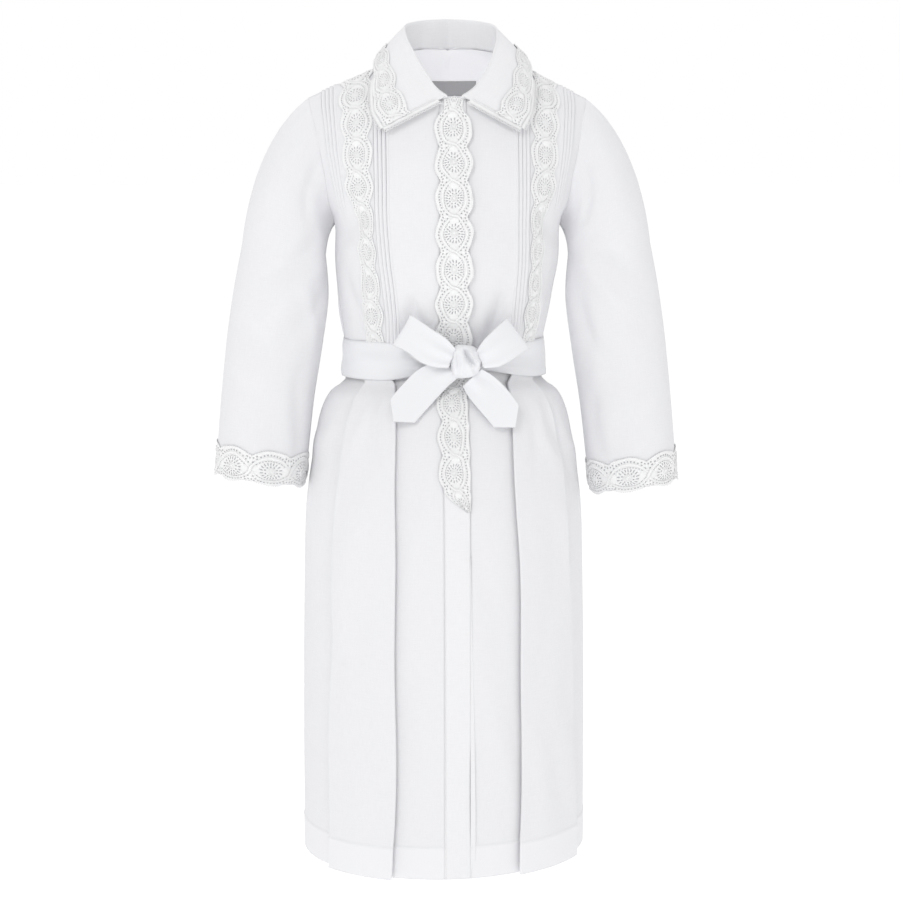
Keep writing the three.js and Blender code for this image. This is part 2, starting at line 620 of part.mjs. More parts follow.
// A ribbon follows its middle line; lean is its half width turned and stretched to that place.
const RIBBON = ['x', 'y', 'z', 'leanX', 'leanY', 'leanZ'];
const LEFT_LOOP = table(RIBBON, [
  [-5.4, -116, -424, -1, 0, -7],
  [-24, -113.5, -412, -7, 0, -15],
  [-50, -111, -394, -11.5, 0, -19.5],
  [-70, -110, -381, -12.5, 0, -20.5],
  [-75, -113.5, -378, -12.5, 0, -20.5],
  [-71, -119, -379, -12.5, 0, -20.5],
  [-50, -127, -391, -12, 0, -20],
  [-26, -131, -406, -8, 0, -16.5],
  [-7.4, -130, -417, -1, 0, -8],
]);
const RIGHT_LOOP = table(RIBBON, [
  [36.6, -118, -424, 1, 0, -7],
  [50, -115, -412, 7, 0, -14],
  [68, -112, -397, 12, 0, -17],
  [83, -110.5, -384, 13.5, 0, -18],
  [88, -114, -381, 13.5, 0, -18],
  [84, -120, -382, 13.5, 0, -18],
  [68, -129, -393, 12, 0, -17.5],
  [50, -133, -407, 8, 0, -15.5],
  [36.6, -131, -417, 1, 0, -8],
]);
const LEFT_TAIL = table(RIBBON, [
  [-3.2, -119, -432.3, 9, 0, -12],
  [-20, -121, -438, 13, 0, -15.5],
  [-38, -123, -451, 15.5, 0, -17.5],
  [-56, -126, -469, 16.5, 0, -17.5],
  [-72, -130, -486, 17, 0, -17],
]);
const RIGHT_TAIL = table(RIBBON, [
  [24.5, -122.6, -442.9, -13, 0, -11.5],
  [36, -126, -455, -17, 0, -14],
  [48, -129, -468, -18, 0, -15.5],
  [60, -132, -482, -18, 0, -15.5],
  [70, -135, -495, -17.5, 0, -15.5],
]);
const RIBBON_STEPS = 4;

function ribbon(name, rows, point = 0, flipped = false) {
  const count = (rows.length - 1) * 2;
  const net = upTo(count).map((k) => {
    const t = k / 2;
    const value = (column) => smooth(rows, column, t);
    const [x, y, z, leanX, leanY, leanZ] = RIBBON.map(value);
    return upTo(RIBBON_STEPS).map((i) => {
      const across = (2 * i) / RIBBON_STEPS - 1;
      return vector(x + across * leanX, y + across * leanY, z + across * leanZ);
    });
  });
  if (point) {
    const way = net.at(-1)[2].clone().sub(net.at(-2)[2]).normalize();
    const steps = upTo(RIBBON_STEPS).map((i) => point * (1 - Math.abs((2 * i) / RIBBON_STEPS - 1)));
    net.push(net.at(-1).map((p, i) => p.clone().addScaledVector(way, steps[i] + 1)));
  }
  return clothPiece(name, netSheet(net, flipped), SASH_CLOTH, SASH);
}

const KNOT = { x: 15.5, y: -121.4, z: -421, width: 21, depth: 15, height: 23 };
function knot() {
  const geometry = new THREE.SphereGeometry(1, 20, 14);
  geometry.scale(KNOT.width, KNOT.depth, KNOT.height);
  geometry.translate(KNOT.x, KNOT.y, KNOT.z);
  const mesh = new THREE.Mesh(geometry, SASH);
  mesh.name = 'sash_knot';
  return mesh;
}

const robe = new THREE.Group();
robe.add(...panels());
robe.add(...buttonBands());
robe.add(centreLace());
robe.add(...sideLace());
robe.add(...sleeves());
robe.add(clothPiece('collar', wholeCollar(collarPath), COLLAR_CLOTH, COTTON));
robe.add(collarLace());
robe.add(sashBand());
robe.add(ribbon('bow_loop_right', LEFT_LOOP));
robe.add(ribbon('bow_loop_left', RIGHT_LOOP, 0, true));
robe.add(ribbon('bow_tail_right', LEFT_TAIL, 20, true));
robe.add(ribbon('bow_tail_left', RIGHT_TAIL, 20));
robe.add(knot());

export default robe;
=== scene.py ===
# %% [markdown]
# A white robe, worn, with nobody in it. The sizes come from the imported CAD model, which holds the
# garment's true form in plain walls. This script loads that model as a fixed frame and dresses it:
# each CAD wall is replaced by a finer sheet of cloth on the same surface, with real tucks, folds
# and lace.
# %% Load the frame
import math

import bmesh
import bpy
import numpy as np
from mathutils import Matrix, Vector


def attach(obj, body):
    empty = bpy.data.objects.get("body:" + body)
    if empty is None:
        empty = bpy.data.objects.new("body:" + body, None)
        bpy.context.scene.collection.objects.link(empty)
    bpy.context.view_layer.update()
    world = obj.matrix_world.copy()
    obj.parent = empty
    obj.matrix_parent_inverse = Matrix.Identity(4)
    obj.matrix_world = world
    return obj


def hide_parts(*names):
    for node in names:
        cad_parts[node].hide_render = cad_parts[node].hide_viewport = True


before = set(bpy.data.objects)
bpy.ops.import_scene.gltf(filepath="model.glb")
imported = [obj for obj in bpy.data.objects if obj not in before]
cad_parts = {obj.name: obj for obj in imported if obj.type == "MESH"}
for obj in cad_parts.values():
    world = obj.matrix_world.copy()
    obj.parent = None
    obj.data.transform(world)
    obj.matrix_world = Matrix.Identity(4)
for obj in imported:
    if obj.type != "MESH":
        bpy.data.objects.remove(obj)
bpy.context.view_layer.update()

# %% [markdown]
# The camera stands where the photographer stood: nearly level with the shoulders, a few degrees to
# one side, and far enough away that the robe hardly narrows towards its hem. A long lens gives that
# flat look.
# %% Camera
TARGET = Vector((0.0086, -0.0011, -0.563))
CAMERA_PLACE = Vector((-0.3164, -2.6479, -0.1406))


def add_object(name, data):
    added = bpy.data.objects.new(name, data)
    bpy.context.scene.collection.objects.link(added)
    return added


camera_data = bpy.data.cameras.new("portrait_lens")
camera_data.lens = 74.48
camera_data.sensor_width = 36
camera = add_object("camera", camera_data)
camera.location = CAMERA_PLACE
camera.rotation_euler = (TARGET - CAMERA_PLACE).to_track_quat("-Z", "Y").to_euler()
bpy.context.scene.camera = camera
print("camera distance", round((TARGET - CAMERA_PLACE).length, 3))

# %% [markdown]
# White cloth on a white ground needs light from all round, or its shaded side turns grey and dirty.
# The world gives that. One large lamp at the upper left is a little stronger, so that each fold has
# a light side and a soft shadow. Seen straight, the world is pure white. There is no film-like
# colour curve.
# %% Light
WORLD_LIGHT, WORLD_SEEN = 0.72, 1.0  # strength of the world as light, and as the camera sees it
ROBE_MIDDLE = Vector((0, 0, -0.55))
bpy.context.scene.view_settings.view_transform = "Standard"
world = bpy.data.worlds.new("white_studio")
bpy.context.scene.world = world
world.use_nodes = True
background = world.node_tree.nodes["Background"]
background.inputs["Color"].default_value = (1.0, 1.0, 1.0, 1)
seen_by = world.node_tree.nodes.new("ShaderNodeLightPath")
strength = world.node_tree.nodes.new("ShaderNodeMix")
strength.inputs["A"].default_value = WORLD_LIGHT
strength.inputs["B"].default_value = WORLD_SEEN
world.node_tree.links.new(seen_by.outputs["Is Camera Ray"], strength.inputs["Factor"])
world.node_tree.links.new(strength.outputs["Result"], background.inputs["Strength"])


def soft_lamp(name, place, size, power):
    """A square lamp that faces the middle of the robe."""
    data = bpy.data.lights.new(name, "AREA")
    data.size = size
    data.energy = power
    lamp = add_object(name, data)
    lamp.location = place
    lamp.rotation_euler = (ROBE_MIDDLE - lamp.location).to_track_quat("-Z", "Y").to_euler()
    return lamp


lamps = [
    soft_lamp("key", (-1.7, -3.1, 1.9), 1.1, 31),
    soft_lamp("fill", (2.6, -3.0, 0.2), 2.4, 7),
    soft_lamp("top", (0, 0.6, 2.6), 2.0, 14),
]
print("lamps", [lamp.name for lamp in lamps])

# %% [markdown]
# The floor is wide and pale and lies well below the hem, as it would under a wearer's feet. Its far
# part fills the picture behind the robe, so it is nearly white and quite matt.
# %% Floor
FLOOR_HEIGHT, FLOOR_HALF, FLOOR_BACK = -1.45, 60, 20
FLOOR_GLOW = 0.34


def plain_surface(name, colour, roughness, glow):
    material = bpy.data.materials.new(name)
    material.use_nodes = True
    shader = material.node_tree.nodes["Principled BSDF"]
    shader.inputs["Base Color"].default_value = (*colour, 1)
    shader.inputs["Roughness"].default_value = roughness
    shader.inputs["Specular IOR Level"].default_value = 0.0
    shader.inputs["Emission Color"].default_value = (1, 1, 1, 1)
    shader.inputs["Emission Strength"].default_value = glow
    return material


form = bmesh.new()
bmesh.ops.create_grid(form, x_segments=2, y_segments=2, size=FLOOR_HALF)
bmesh.ops.translate(form, verts=form.verts, vec=(0, FLOOR_BACK, FLOOR_HEIGHT))
floor_mesh = bpy.data.meshes.new("floor")
form.to_mesh(floor_mesh)
form.free()
floor_mesh.materials.append(plain_surface("pale_floor", (0.97, 0.97, 0.97), 1.0, FLOOR_GLOW))
add_object("floor", floor_mesh)
print("floor at", FLOOR_HEIGHT)

# %% [markdown]
# The robe's surface is worked out from the same tables as the CAD part, in millimetres. Each row of
# BODY is a ring round the wearer. Each row of FRONT and BACK runs from an inner point, on the
# centre or the neckline, to an outer one, on the side seam, the armhole or the shoulder seam.
# %% Tables of the body
MM = 0.001
BODY = [  # name, height, half width, front depth, back depth
    ("hem", -1150, 208, 167, 160),
    ("hem stitching", -1104, 208, 167, 159),
    ("calf", -930, 207, 165, 157),
    ("knee", -760, 204, 162, 154),
    ("thigh", -640, 200, 157, 148),
    ("hip", -560, 190, 146, 138),
    ("upper hip", -504, 181, 132, 126),
    ("flare", -472, 168, 120, 113),
    ("sash bottom", -455, 148, 107, 99),
    ("waist", -428, 142, 102.5, 94),
    ("sash top", -400, 142.5, 103, 94),
    ("ribs", -350, 151, 112, 100),
    ("bust", -290, 159, 120, 106),
    ("armpit", -238, 160, 119, 108),
]
SECTION = ("in_x", "in_y", "in_z", "out_x", "out_y", "out_z", "wrap")
FRONT_TOP = [
    ("low armhole", 0, -115, -195, 169, -25, -205, 78),
    ("chest", 0, -108, -150, 174, -36, -168, 66),
    ("high chest", 0, -98, -108, 180, -37, -136, 58),
    ("neck front", 0, -88, -61, 186, -32, -110, 52),
    ("collarbone", 32, -76, -54, 189, -27, -95, 46),
    ("neck curve", 54, -54, -40, 192, -21, -80, 40),
    ("neck side", 66, -33, -18, 194, -15, -70, 35),
    ("shoulder seam", 72, -14.2, -4, 195, -10.5, -62, 30),
]
BACK_TOP = [
    ("low armhole", 0, 108, -190, 168, 24, -205, 78),
    ("shoulder blade", 0, 106, -142, 172, 38, -168, 66),
    ("upper blade", 0, 100, -92, 177, 42, -136, 58),
    ("upper back", 0, 86, -38, 182, 40, -112, 52),
    ("neck back", 0, 62, 8, 186, 34, -95, 46),
    ("neck curve", 40, 46, 8, 190, 24, -80, 40),
    ("neck side", 66, 18, 2, 193, 8, -68, 35),
    ("shoulder seam", 72, -12.7, -3.6, 195, -8, -61.6, 30),
]
ARMPIT_ROW, NECK_FRONT_ROW, SHOULDER_ROW = 13, 17, 21


def columns_of(names, rows):
    """A table as one array for each named column; a row's own name comes first."""
    return {name: np.array([row[i + 1] for row in rows], float) for i, name in enumerate(names)}


def panel_table(side, top):
    depth = 3 if side < 0 else 4
    rings = [(b[0], 0, side * b[depth], b[1], b[2], side * 0.4, b[1], 90) for b in BODY]
    return {"side": side, **columns_of(SECTION, rings + top)}


FRONT = panel_table(-1, FRONT_TOP)
BACK = panel_table(1, BACK_TOP)
print("rows in a panel:", len(FRONT["in_x"]))

# %% [markdown]
# A table has few rows, and cloth is smooth between them. A cubic curve through four neighbouring
# rows gives that. Only the folds are read straight, as a pressed fold is.
# %% Reading a table
def mix(a, b, share):
    return a + (b - a) * share


def eased(value, low, high):
    share = np.clip((value - low) / (high - low), 0, 1)
    return share * share * (3 - 2 * share)


def smooth(values, t):
    last = len(values) - 1
    i = np.clip(np.floor(t).astype(int), 0, last - 1)
    a, b = values[np.maximum(i - 1, 0)], values[i]
    c, d = values[i + 1], values[np.minimum(i + 2, last)]
    s = t - i
    s = s.reshape(s.shape + (1,) * (b.ndim - s.ndim))
    return b + 0.5 * s * (c - a + s * (2 * a - 5 * b + 4 * c - d + s * (3 * (b - c) + d - a)))


def straight(values, t):
    return np.interp(t, np.arange(len(values)), values)


def panel_point(panel, t, phi):
    """A point of one half panel at row t, turned by phi from its inner edge."""
    turn = np.radians(smooth(panel["wrap"], t))
    across = np.sin(phi) / np.sin(turn)
    bow = (np.cos(phi) - np.cos(turn)) / (1 - np.cos(turn))
    near = [smooth(panel[name], t) for name in SECTION[:3]]
    far = [smooth(panel[name], t) for name in SECTION[3:6]]
    x, z = mix(near[0], far[0], across), mix(near[2], far[2], across)
    return np.stack([x, mix(far[1], near[1], bow), z], axis=-1)


def angle_at(panel, t, x):
    near, far = smooth(panel["in_x"], t), smooth(panel["out_x"], t)
    share = (x - near) / (far - near) * np.sin(np.radians(smooth(panel["wrap"], t)))
    return np.arcsin(np.clip(share, 0, 1))


def lifted(panel, t, phi, lift):
    """The same point, lift mm out of the cloth, and how many mm one radian is there."""
    step = 0.01
    t, phi, lift = np.broadcast_arrays(np.asarray(t, float), phi, lift)
    across = panel_point(panel, t, phi + step) - panel_point(panel, t, phi - step)
    low, high = np.maximum(t - step, 0), np.minimum(t + step, SHOULDER_ROW)
    up = panel_point(panel, high, phi) - panel_point(panel, low, phi)
    normal = np.cross(across, up) * -panel["side"]
    normal /= np.linalg.norm(normal, axis=-1, keepdims=True)
    reach = np.linalg.norm(across, axis=-1) / (2 * step)
    return panel_point(panel, t, phi) + normal * lift[..., None], reach


waist_point, _ = lifted(FRONT, np.array([9.0]), np.array([0.0]), np.array([0.0]))
print("front of the waist, mm:", waist_point.round(1).tolist())

# %% [markdown]
# The wearer's chest is turned a little against the skirt, and the neck is set to one side.
# Everything above the waist goes with it, so each piece is posed last, by one rule. The same rule
# draws the cloth beside the bow a little towards it on the right.
# %% Pose
CHEST_TURN = math.radians(-2.5)
DRAWN_IN = 10  # mm that the bow pulls the cloth beside it towards the centre


def posed(points, level=None):
    points = np.array(points, float)
    x, y, z = points[..., 0], points[..., 1], points[..., 2]
    height = z if level is None else np.full_like(z, level)
    chest = eased(height, -420, -240)
    neck = eased(height, -95, -25) * (1 - eased(np.abs(x), 105, 180))
    cos, sin = np.cos(CHEST_TURN * chest), np.sin(CHEST_TURN * chest)
    drawn_in = eased(-x, 25, 80) * (1 - eased(-x, 100, 150)) * eased(-y, 10, 60)
    drawn_in = DRAWN_IN * drawn_in * eased(-height, 210, 370) * (1 - eased(-height, 405, 425))
    moved = [x * cos - y * sin + 5 * chest + 5 * neck + drawn_in, x * sin + y * cos, z]
    return np.stack(moved, axis=-1)


def posed_sleeve(points):
    points = np.array(points, float)
    drop = 8 * eased(-points[..., 2], 240, 600)
    points[..., 2] -= np.sign(points[..., 0]) * drop
    return posed(points, -200)


print("a shoulder point goes to", posed([[195, -10, -62]]).round(1).tolist())


def lengths_along(net, axis):
    """How far along the cloth each line of the net is, in mm, on average."""
    steps = np.linalg.norm(np.diff(net, axis=axis), axis=-1).mean(axis=1 - axis)
    return np.concatenate([[0], np.cumsum(steps)])


def net_form(name, net, first_row_at=0.0):
    """A bmesh through a net of points in mm. Its UV map starts first_row_at mm along the cloth."""
    rows, columns = net.shape[:2]
    form = bmesh.new()
    form.loops.layers.uv.new("along_cloth")
    bmesh.ops.create_grid(form, x_segments=columns - 1, y_segments=rows - 1, size=0.5, calc_uvs=True)
    mesh = bpy.data.meshes.new("flat_net")
    form.to_mesh(mesh)
    flat = np.empty(len(mesh.vertices) * 3, np.float32)
    mesh.vertices.foreach_get("co", flat)
    flat = flat.reshape(-1, 3) + 0.5
    at_column = np.rint(flat[:, 0] * (columns - 1)).astype(int)
    at_row = np.rint(flat[:, 1] * (rows - 1)).astype(int)
    mesh.vertices.foreach_set("co", (net[at_row, at_column] * MM).astype(np.float32).ravel())
    layer = mesh.uv_layers["along_cloth"]
    uv = np.empty(len(mesh.loops) * 2, np.float32)
    layer.uv.foreach_get("vector", uv)
    uv = uv.reshape(-1, 2)
    along = [lengths_along(net, 1), lengths_along(net, 0) + first_row_at]
    for k, count in ((0, columns - 1), (1, rows - 1)):
        uv[:, k] = along[k][np.rint(uv[:, k] * count).astype(int)] * MM
    layer.uv.foreach_set("vector", uv.ravel())
    form.clear()
    form.from_mesh(mesh)
    bpy.data.meshes.remove(mesh)
    print(name, rows, "by", columns, "points,", [round(a[-1]) for a in along], "mm")
    return form


def cloth_sheet(name, net, inside, material, thickness=0.7, replaces=(),
                closed=False, lining=None):
    """A sheet of cloth through a net of points in mm; its inner side faces the point inside."""
    form = net_form(name, net)
    if closed:
        bmesh.ops.remove_doubles(form, verts=form.verts, dist=1e-6)
    turn_outwards(form, inside)
    return finish_sheet(name, form, material, thickness, replaces, lining)


def turn_outwards(form, inside):
    """Turns the faces so that, on the whole, they look away from the point inside, in mm."""
    form.normal_update()
    middle = Vector(inside) * MM
    outwards = sum(f.normal.dot(f.calc_center_median() - middle) * f.calc_area() for f in form.faces)
    if outwards < 0:
        bmesh.ops.reverse_faces(form, faces=form.faces)


def add_piece(name, mesh, material, replaces=()):
    """A piece of the robe: it rides on the frame's body, and may stand for nodes of the CAD part."""
    mesh.shade_smooth()
    mesh.materials.append(material)
    piece = add_object(name, mesh)
    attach(piece, "root")
    if replaces:
        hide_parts(*replaces)
    return piece


def finish_sheet(name, form, material, thickness, replaces=(), lining=None):
    """Makes the object of a sheet from its bmesh, in metres, and gives it its thickness in mm."""
    mesh = bpy.data.meshes.new(name)
    form.to_mesh(mesh)
    form.free()
    piece = add_piece(name, mesh, material, replaces)
    if thickness:
        wall = piece.modifiers.new("cloth_thickness", "SOLIDIFY")
        wall.thickness = thickness * MM
        wall.offset = -1
        if lining:
            mesh.materials.append(lining)
            wall.material_offset = 1
    return piece

# %% [markdown]
# Linen isn't even: here and there a thread is thicker, so the cloth has short faint streaks along
# and across. One node group makes them for every cloth of the robe, from the UV map: two noise
# patterns, each drawn out along one thread direction, and a fine checked weave for the close view.
# %% Threads, as a node group
def shader_group(name, inputs, outputs):
    group = bpy.data.node_groups.new(name, "ShaderNodeTree")
    for socket, kind, value in inputs:
        made_socket = group.interface.new_socket(socket, in_out="INPUT", socket_type=kind)
        if value is not None:
            made_socket.default_value = value
    for socket in outputs:
        group.interface.new_socket(socket, in_out="OUTPUT", socket_type="NodeSocketFloat")
    return group, group.nodes.new("NodeGroupInput"), group.nodes.new("NodeGroupOutput")


def add_node(tree, kind, **settings):
    """A node with its settings; a value meant for an input socket is given by the socket's name."""
    node = tree.nodes.new(kind)
    for key, value in settings.items():
        if key in node.bl_rna.properties:
            setattr(node, key, value)
        else:
            node.inputs[key.replace("_", " ")].default_value = value
    return node


def calculated(tree, operation, *inputs, clamp=False):
    """The result of a Math node; each input is a number or the output of another node."""
    node = add_node(tree, "ShaderNodeMath", operation=operation, use_clamp=clamp)
    for socket, value in zip(node.inputs, inputs):
        if isinstance(value, bpy.types.NodeSocket):
            tree.links.new(value, socket)
        else:
            socket.default_value = value
    return node.outputs[0]


threads, given, result = shader_group(
    "linen_threads",
    [("Weave Pitch", "NodeSocketFloat", 0.0006), ("Slub", "NodeSocketFloat", 1.0)],
    ["Height", "Tone"],
)
STREAKS = ((60, 700, 1), (700, 60, 1))  # noise turns a metre: long one way, short the other
WEAVE_HEIGHT = 0.25  # height of the checked weave beside that of the streaks
cloth_uv = add_node(threads, "ShaderNodeUVMap", uv_map="along_cloth")
streaks = []
for stretch in STREAKS:
    scaled = add_node(threads, "ShaderNodeMapping", Scale=stretch)
    noise = add_node(threads, "ShaderNodeTexNoise", Scale=1.0, Detail=3.0, Roughness=0.6)
    threads.links.new(cloth_uv.outputs["UV"], scaled.inputs["Vector"])
    threads.links.new(scaled.outputs["Vector"], noise.inputs["Vector"])
    streaks.append(noise.outputs["Fac"])
centred = calculated(threads, "SUBTRACT", calculated(threads, "ADD", *streaks), 1.0)
uneven = calculated(threads, "MULTIPLY", centred, given.outputs["Slub"])
turns = calculated(threads, "DIVIDE", 1.0, given.outputs["Weave Pitch"])
scaled_weave = add_node(threads, "ShaderNodeVectorMath", operation="SCALE")
threads.links.new(cloth_uv.outputs["UV"], scaled_weave.inputs[0])
threads.links.new(turns, scaled_weave.inputs["Scale"])
weave = add_node(threads, "ShaderNodeTexChecker", Scale=1.0, Color1=(1, 1, 1, 1), Color2=(0, 0, 0, 1))
threads.links.new(scaled_weave.outputs[0], weave.inputs["Vector"])
height = calculated(threads, "MULTIPLY_ADD", weave.outputs["Fac"], WEAVE_HEIGHT, uneven)
threads.links.new(height, result.inputs["Height"])
threads.links.new(uneven, result.inputs["Tone"])
print("group", threads.name, [socket.name for socket in threads.interface.items_tree])

# %% [markdown]
# Each finish has a material of its own: fine linen for the robe, the same cloth in two layers for
# bands, collar and hem, smooth cloth for the sash, matt cotton cord for the lace, a darker sheet
# under its cords whose tone paints the shade in the lace's holes, and the grey tape at the neck. All
# are nearly white, so they differ in tone by a little and in their threads. Daylight comes through
# thin linen; its inner side has a faint glow, painted light that stands in for that daylight.
# %% Materials
TONE_SPREAD = 1.6  # how strongly the unevenness of the threads shows as a change of tone
DOUBLE_LIGHTER = 1.035


def woven(name, colour, contrast, roughness, sheen, relief,
          pitch=0.0006, slub=1.0, glow=0.0, hem=None):
    """A woven cloth; contrast is how much its threads differ in tone, and relief their height in mm.
    hem is how far up from its lower edge, in metres, the cloth is double and so a little lighter."""
    material = bpy.data.materials.new(name)
    material.use_nodes = True
    tree = material.node_tree
    shader = tree.nodes["Principled BSDF"]
    shader.inputs["Roughness"].default_value = roughness
    shader.inputs["Sheen Weight"].default_value = sheen
    shader.inputs["Specular IOR Level"].default_value = 0.25
    shader.inputs["Emission Color"].default_value = (1, 1, 1, 1)
    shader.inputs["Emission Strength"].default_value = glow
    yarn = add_node(tree, "ShaderNodeGroup", node_tree=threads)
    yarn.inputs["Weave Pitch"].default_value = pitch
    yarn.inputs["Slub"].default_value = slub
    tone = add_node(tree, "ShaderNodeMix", data_type="RGBA")
    darker = tuple(c * (1 - contrast) for c in colour)
    lighter = tuple(min(1, c * (1 + contrast)) for c in colour)
    tone.inputs["A"].default_value = (*darker, 1)
    tone.inputs["B"].default_value = (*lighter, 1)
    shift = calculated(tree, "MULTIPLY_ADD", yarn.outputs["Tone"], TONE_SPREAD, 0.5, clamp=True)
    tree.links.new(shift, tone.inputs["Factor"])
    colour_out = tone.outputs["Result"]
    if hem:
        cloth = add_node(tree, "ShaderNodeUVMap", uv_map="along_cloth")
        height = add_node(tree, "ShaderNodeSeparateXYZ")
        double = add_node(tree, "ShaderNodeMix", data_type="RGBA")
        double.inputs["B"].default_value = (*(min(1, c * DOUBLE_LIGHTER) for c in colour), 1)
        tree.links.new(cloth.outputs["UV"], height.inputs[0])
        is_hem = calculated(tree, "LESS_THAN", height.outputs["Y"], hem)
        tree.links.new(is_hem, double.inputs["Factor"])
        tree.links.new(colour_out, double.inputs["A"])
        colour_out = double.outputs["Result"]
    tree.links.new(colour_out, shader.inputs["Base Color"])
    bump = add_node(tree, "ShaderNodeBump", Strength=1.0, Distance=relief * MM)
    tree.links.new(yarn.outputs["Height"], bump.inputs["Height"])
    tree.links.new(bump.outputs["Normal"], shader.inputs["Normal"])
    return material


WHITE = (0.815, 0.815, 0.835)
LINEN = woven("fine_white_linen", WHITE, 0.02, 0.9, 0.1, 0.1)
BODY_LINEN = woven("linen_with_hem", WHITE, 0.02, 0.9, 0.1, 0.1, hem=0.047)
# Its glow is painted light: it stands in for daylight that comes through the thin linen.
INNER_PAINTED_LIGHT = woven("inner_side_of_the_linen", WHITE, 0.02, 0.9, 0.1, 0.1, glow=0.2)
DOUBLE = woven("linen_in_two_layers", (0.835, 0.835, 0.85), 0.02, 0.9, 0.1, 0.1)
SASH = woven("smooth_sash_cloth", (0.825, 0.83, 0.85), 0.006, 0.5, 0.2, 0.02, pitch=0.0004, slub=0.3)
CORD = woven("white_cotton_cord", (0.88, 0.88, 0.885), 0.03, 0.85, 0.15, 0.05, slub=1.5)
# Painted shade: this darker sheet under the lace gives the shade that falls in its holes.
PAINTED_HOLE_SHADE = woven("lace_painted_shade_ground", (0.58, 0.58, 0.6), 0.1, 0.95, 0.0, 0.2, pitch=0.0012, slub=1.5)
TAPE = woven("grey_tape", (0.42, 0.42, 0.43), 0.05, 0.8, 0.1, 0.1, pitch=0.0008)
print("materials", [m.name for m in (LINEN, BODY_LINEN, INNER_PAINTED_LIGHT, DOUBLE, SASH, CORD, PAINTED_HOLE_SHADE, TAPE)])

# %% [markdown]
# Tucks and pleats come from one path. Above the sash the path lies flat and carries four pintucks;
# below it the same cloth folds over into a box pleat, so the plain centre panel runs on under the
# raised one. The path turns round at each fold in a half circle, as soft cloth does.
# %% Folds of a panel
FOLD_COLUMNS = ("start", "tuck", "side", "back_tuck", "back_side", "pitch", "under", "fold", "sink",
                "tuck_height", "side_height")
FOLDS = columns_of(FOLD_COLUMNS, [
    ("hem", 18.3, 90, 176, 74, 168, 5, 30, 1, 0, 0, 0),
    ("hem stitching", 18.3, 89, 175, 73, 167, 5, 30, 1, 0, 0, 0),
    ("calf", 18.3, 87, 169, 71, 162, 5, 30, 1, 0, 0, 0),
    ("knee", 18.3, 84, 163, 69, 157, 4.8, 28, 1, 0, 0, 0),
    ("thigh", 18.3, 81, 159, 67, 153, 4.6, 26, 1, 0, 0, 0),
    ("hip", 18.3, 80, 153, 66, 146, 4.4, 24, 1, 0.1, 0, 0),
    ("upper hip", 18.3, 80, 144, 66, 136, 4, 22, 1, 0.35, 0, 0),
    ("flare", 18.3, 80, 133, 66, 124, 3.6, 19, 1, 0.7, 0, 0),
    ("sash bottom", 18.3, 79, 120, 65, 112, 3.1, 16, 1, 1, 0, 0),
    ("waist", 18.3, 79, 118, 65, 110, 3.1, 16, 0, 1, 0, 0),
    ("sash top", 18.3, 80, 120, 66, 112, 0, 16, 0, 0, 2, 0),
    ("ribs", 18.3, 83, 128, 70, 120, 0, 16, 0, 0, 2, 0),
    ("bust", 18.3, 86, 136, 74, 130, 0, 16, 0, 0, 2, 0),
    ("armpit", 18.3, 86, 138, 76, 136, 0, 16, 0, 0, 2, 0),
    ("low armhole", 18.3, 86, 144, 78, 142, 0, 16, 0, 0, 2, 0.6),
    ("chest", 18.3, 86, 149, 80, 146, 0, 16, 0, 0, 2, 1.2),
    ("high chest", 18.3, 86, 152.5, 82, 148, 0, 16, 0, 0, 2, 2),
    ("neck front", 18.3, 86, 154.5, 84, 150, 0, 16, 0, 0, 2, 2),
    ("collarbone", 32, 86, 155.5, 86, 152, 0, 16, 0, 0, 2, 2),
    ("neck curve", 54, 86, 156.5, 88, 154, 0, 16, 0, 0, 2, 2),
    ("neck side", 66, 86, 156.5, 90, 156, 0, 16, 0, 0, 2, 2),
    ("shoulder seam", 72, 86, 156.5, 92, 158, 0, 16, 0, 0, 2, 2),
])
TUCK_PITCH = 5.9


def pleat_path(per_unit=10):
    """Flat place in mm, share of the depth, reach in mm and layer, along the cloth of one pleat."""
    share = np.linspace(0, 1, 2 * per_unit + 1)[1:]
    half_turn = math.pi * share
    stretches = [
        (share[::2], share[::2], -8 + 8 * share[::2], 0 * share[::2]),
        (1 + 2 * share, 1 + 0 * share, 2 * np.sin(half_turn), (1 - np.cos(half_turn)) / 2),
        (3 + 2 * share, 1 - share, 2 * share, 1 + 0 * share),
        (5 + 2 * share, 0 * share, 2 - 2 * np.sin(half_turn), 1 + (1 - np.cos(half_turn)) / 2),
        (7 + share[::2], 0 * share[::2], 2 + 7 * share[::2], 2 + 0 * share[::2]),
    ]
    start = np.array([[0.0], [0.0], [-8.0], [0.0]])
    place, depth, reach, level = np.concatenate([start, *(np.array(s) for s in stretches)], axis=1)
    return place * TUCK_PITCH / 2, depth, reach, level


def tuck_ridges(flat):
    """Four narrow tucks: each has a flat top, drops at its edge and leaves a deep groove beside it."""
    share = (flat / TUCK_PITCH) % 1
    ridge = mix(0.4, 1.0, eased(share, 0.0, 0.3)) - 3.0 * eased(share, 0.72, 0.81)
    return np.where(share > 0.86, mix(-2.0, 0.4, eased(share, 0.86, 0.96)), ridge)


def wander(t, side, line):
    """A pressed pleat doesn't hang quite straight: mm that its fold strays, below the sash only."""
    height = straight(FRONT["in_z"], t)
    phase = (0.4 if side < 0 else 2.1) + (1.3 if line.endswith("side") else 0)
    slow = 2.6 * np.sin(height / 118 + phase) + 1.1 * np.sin(height / 47 + 2 * phase)
    return slow * eased(-height, 470, 640)


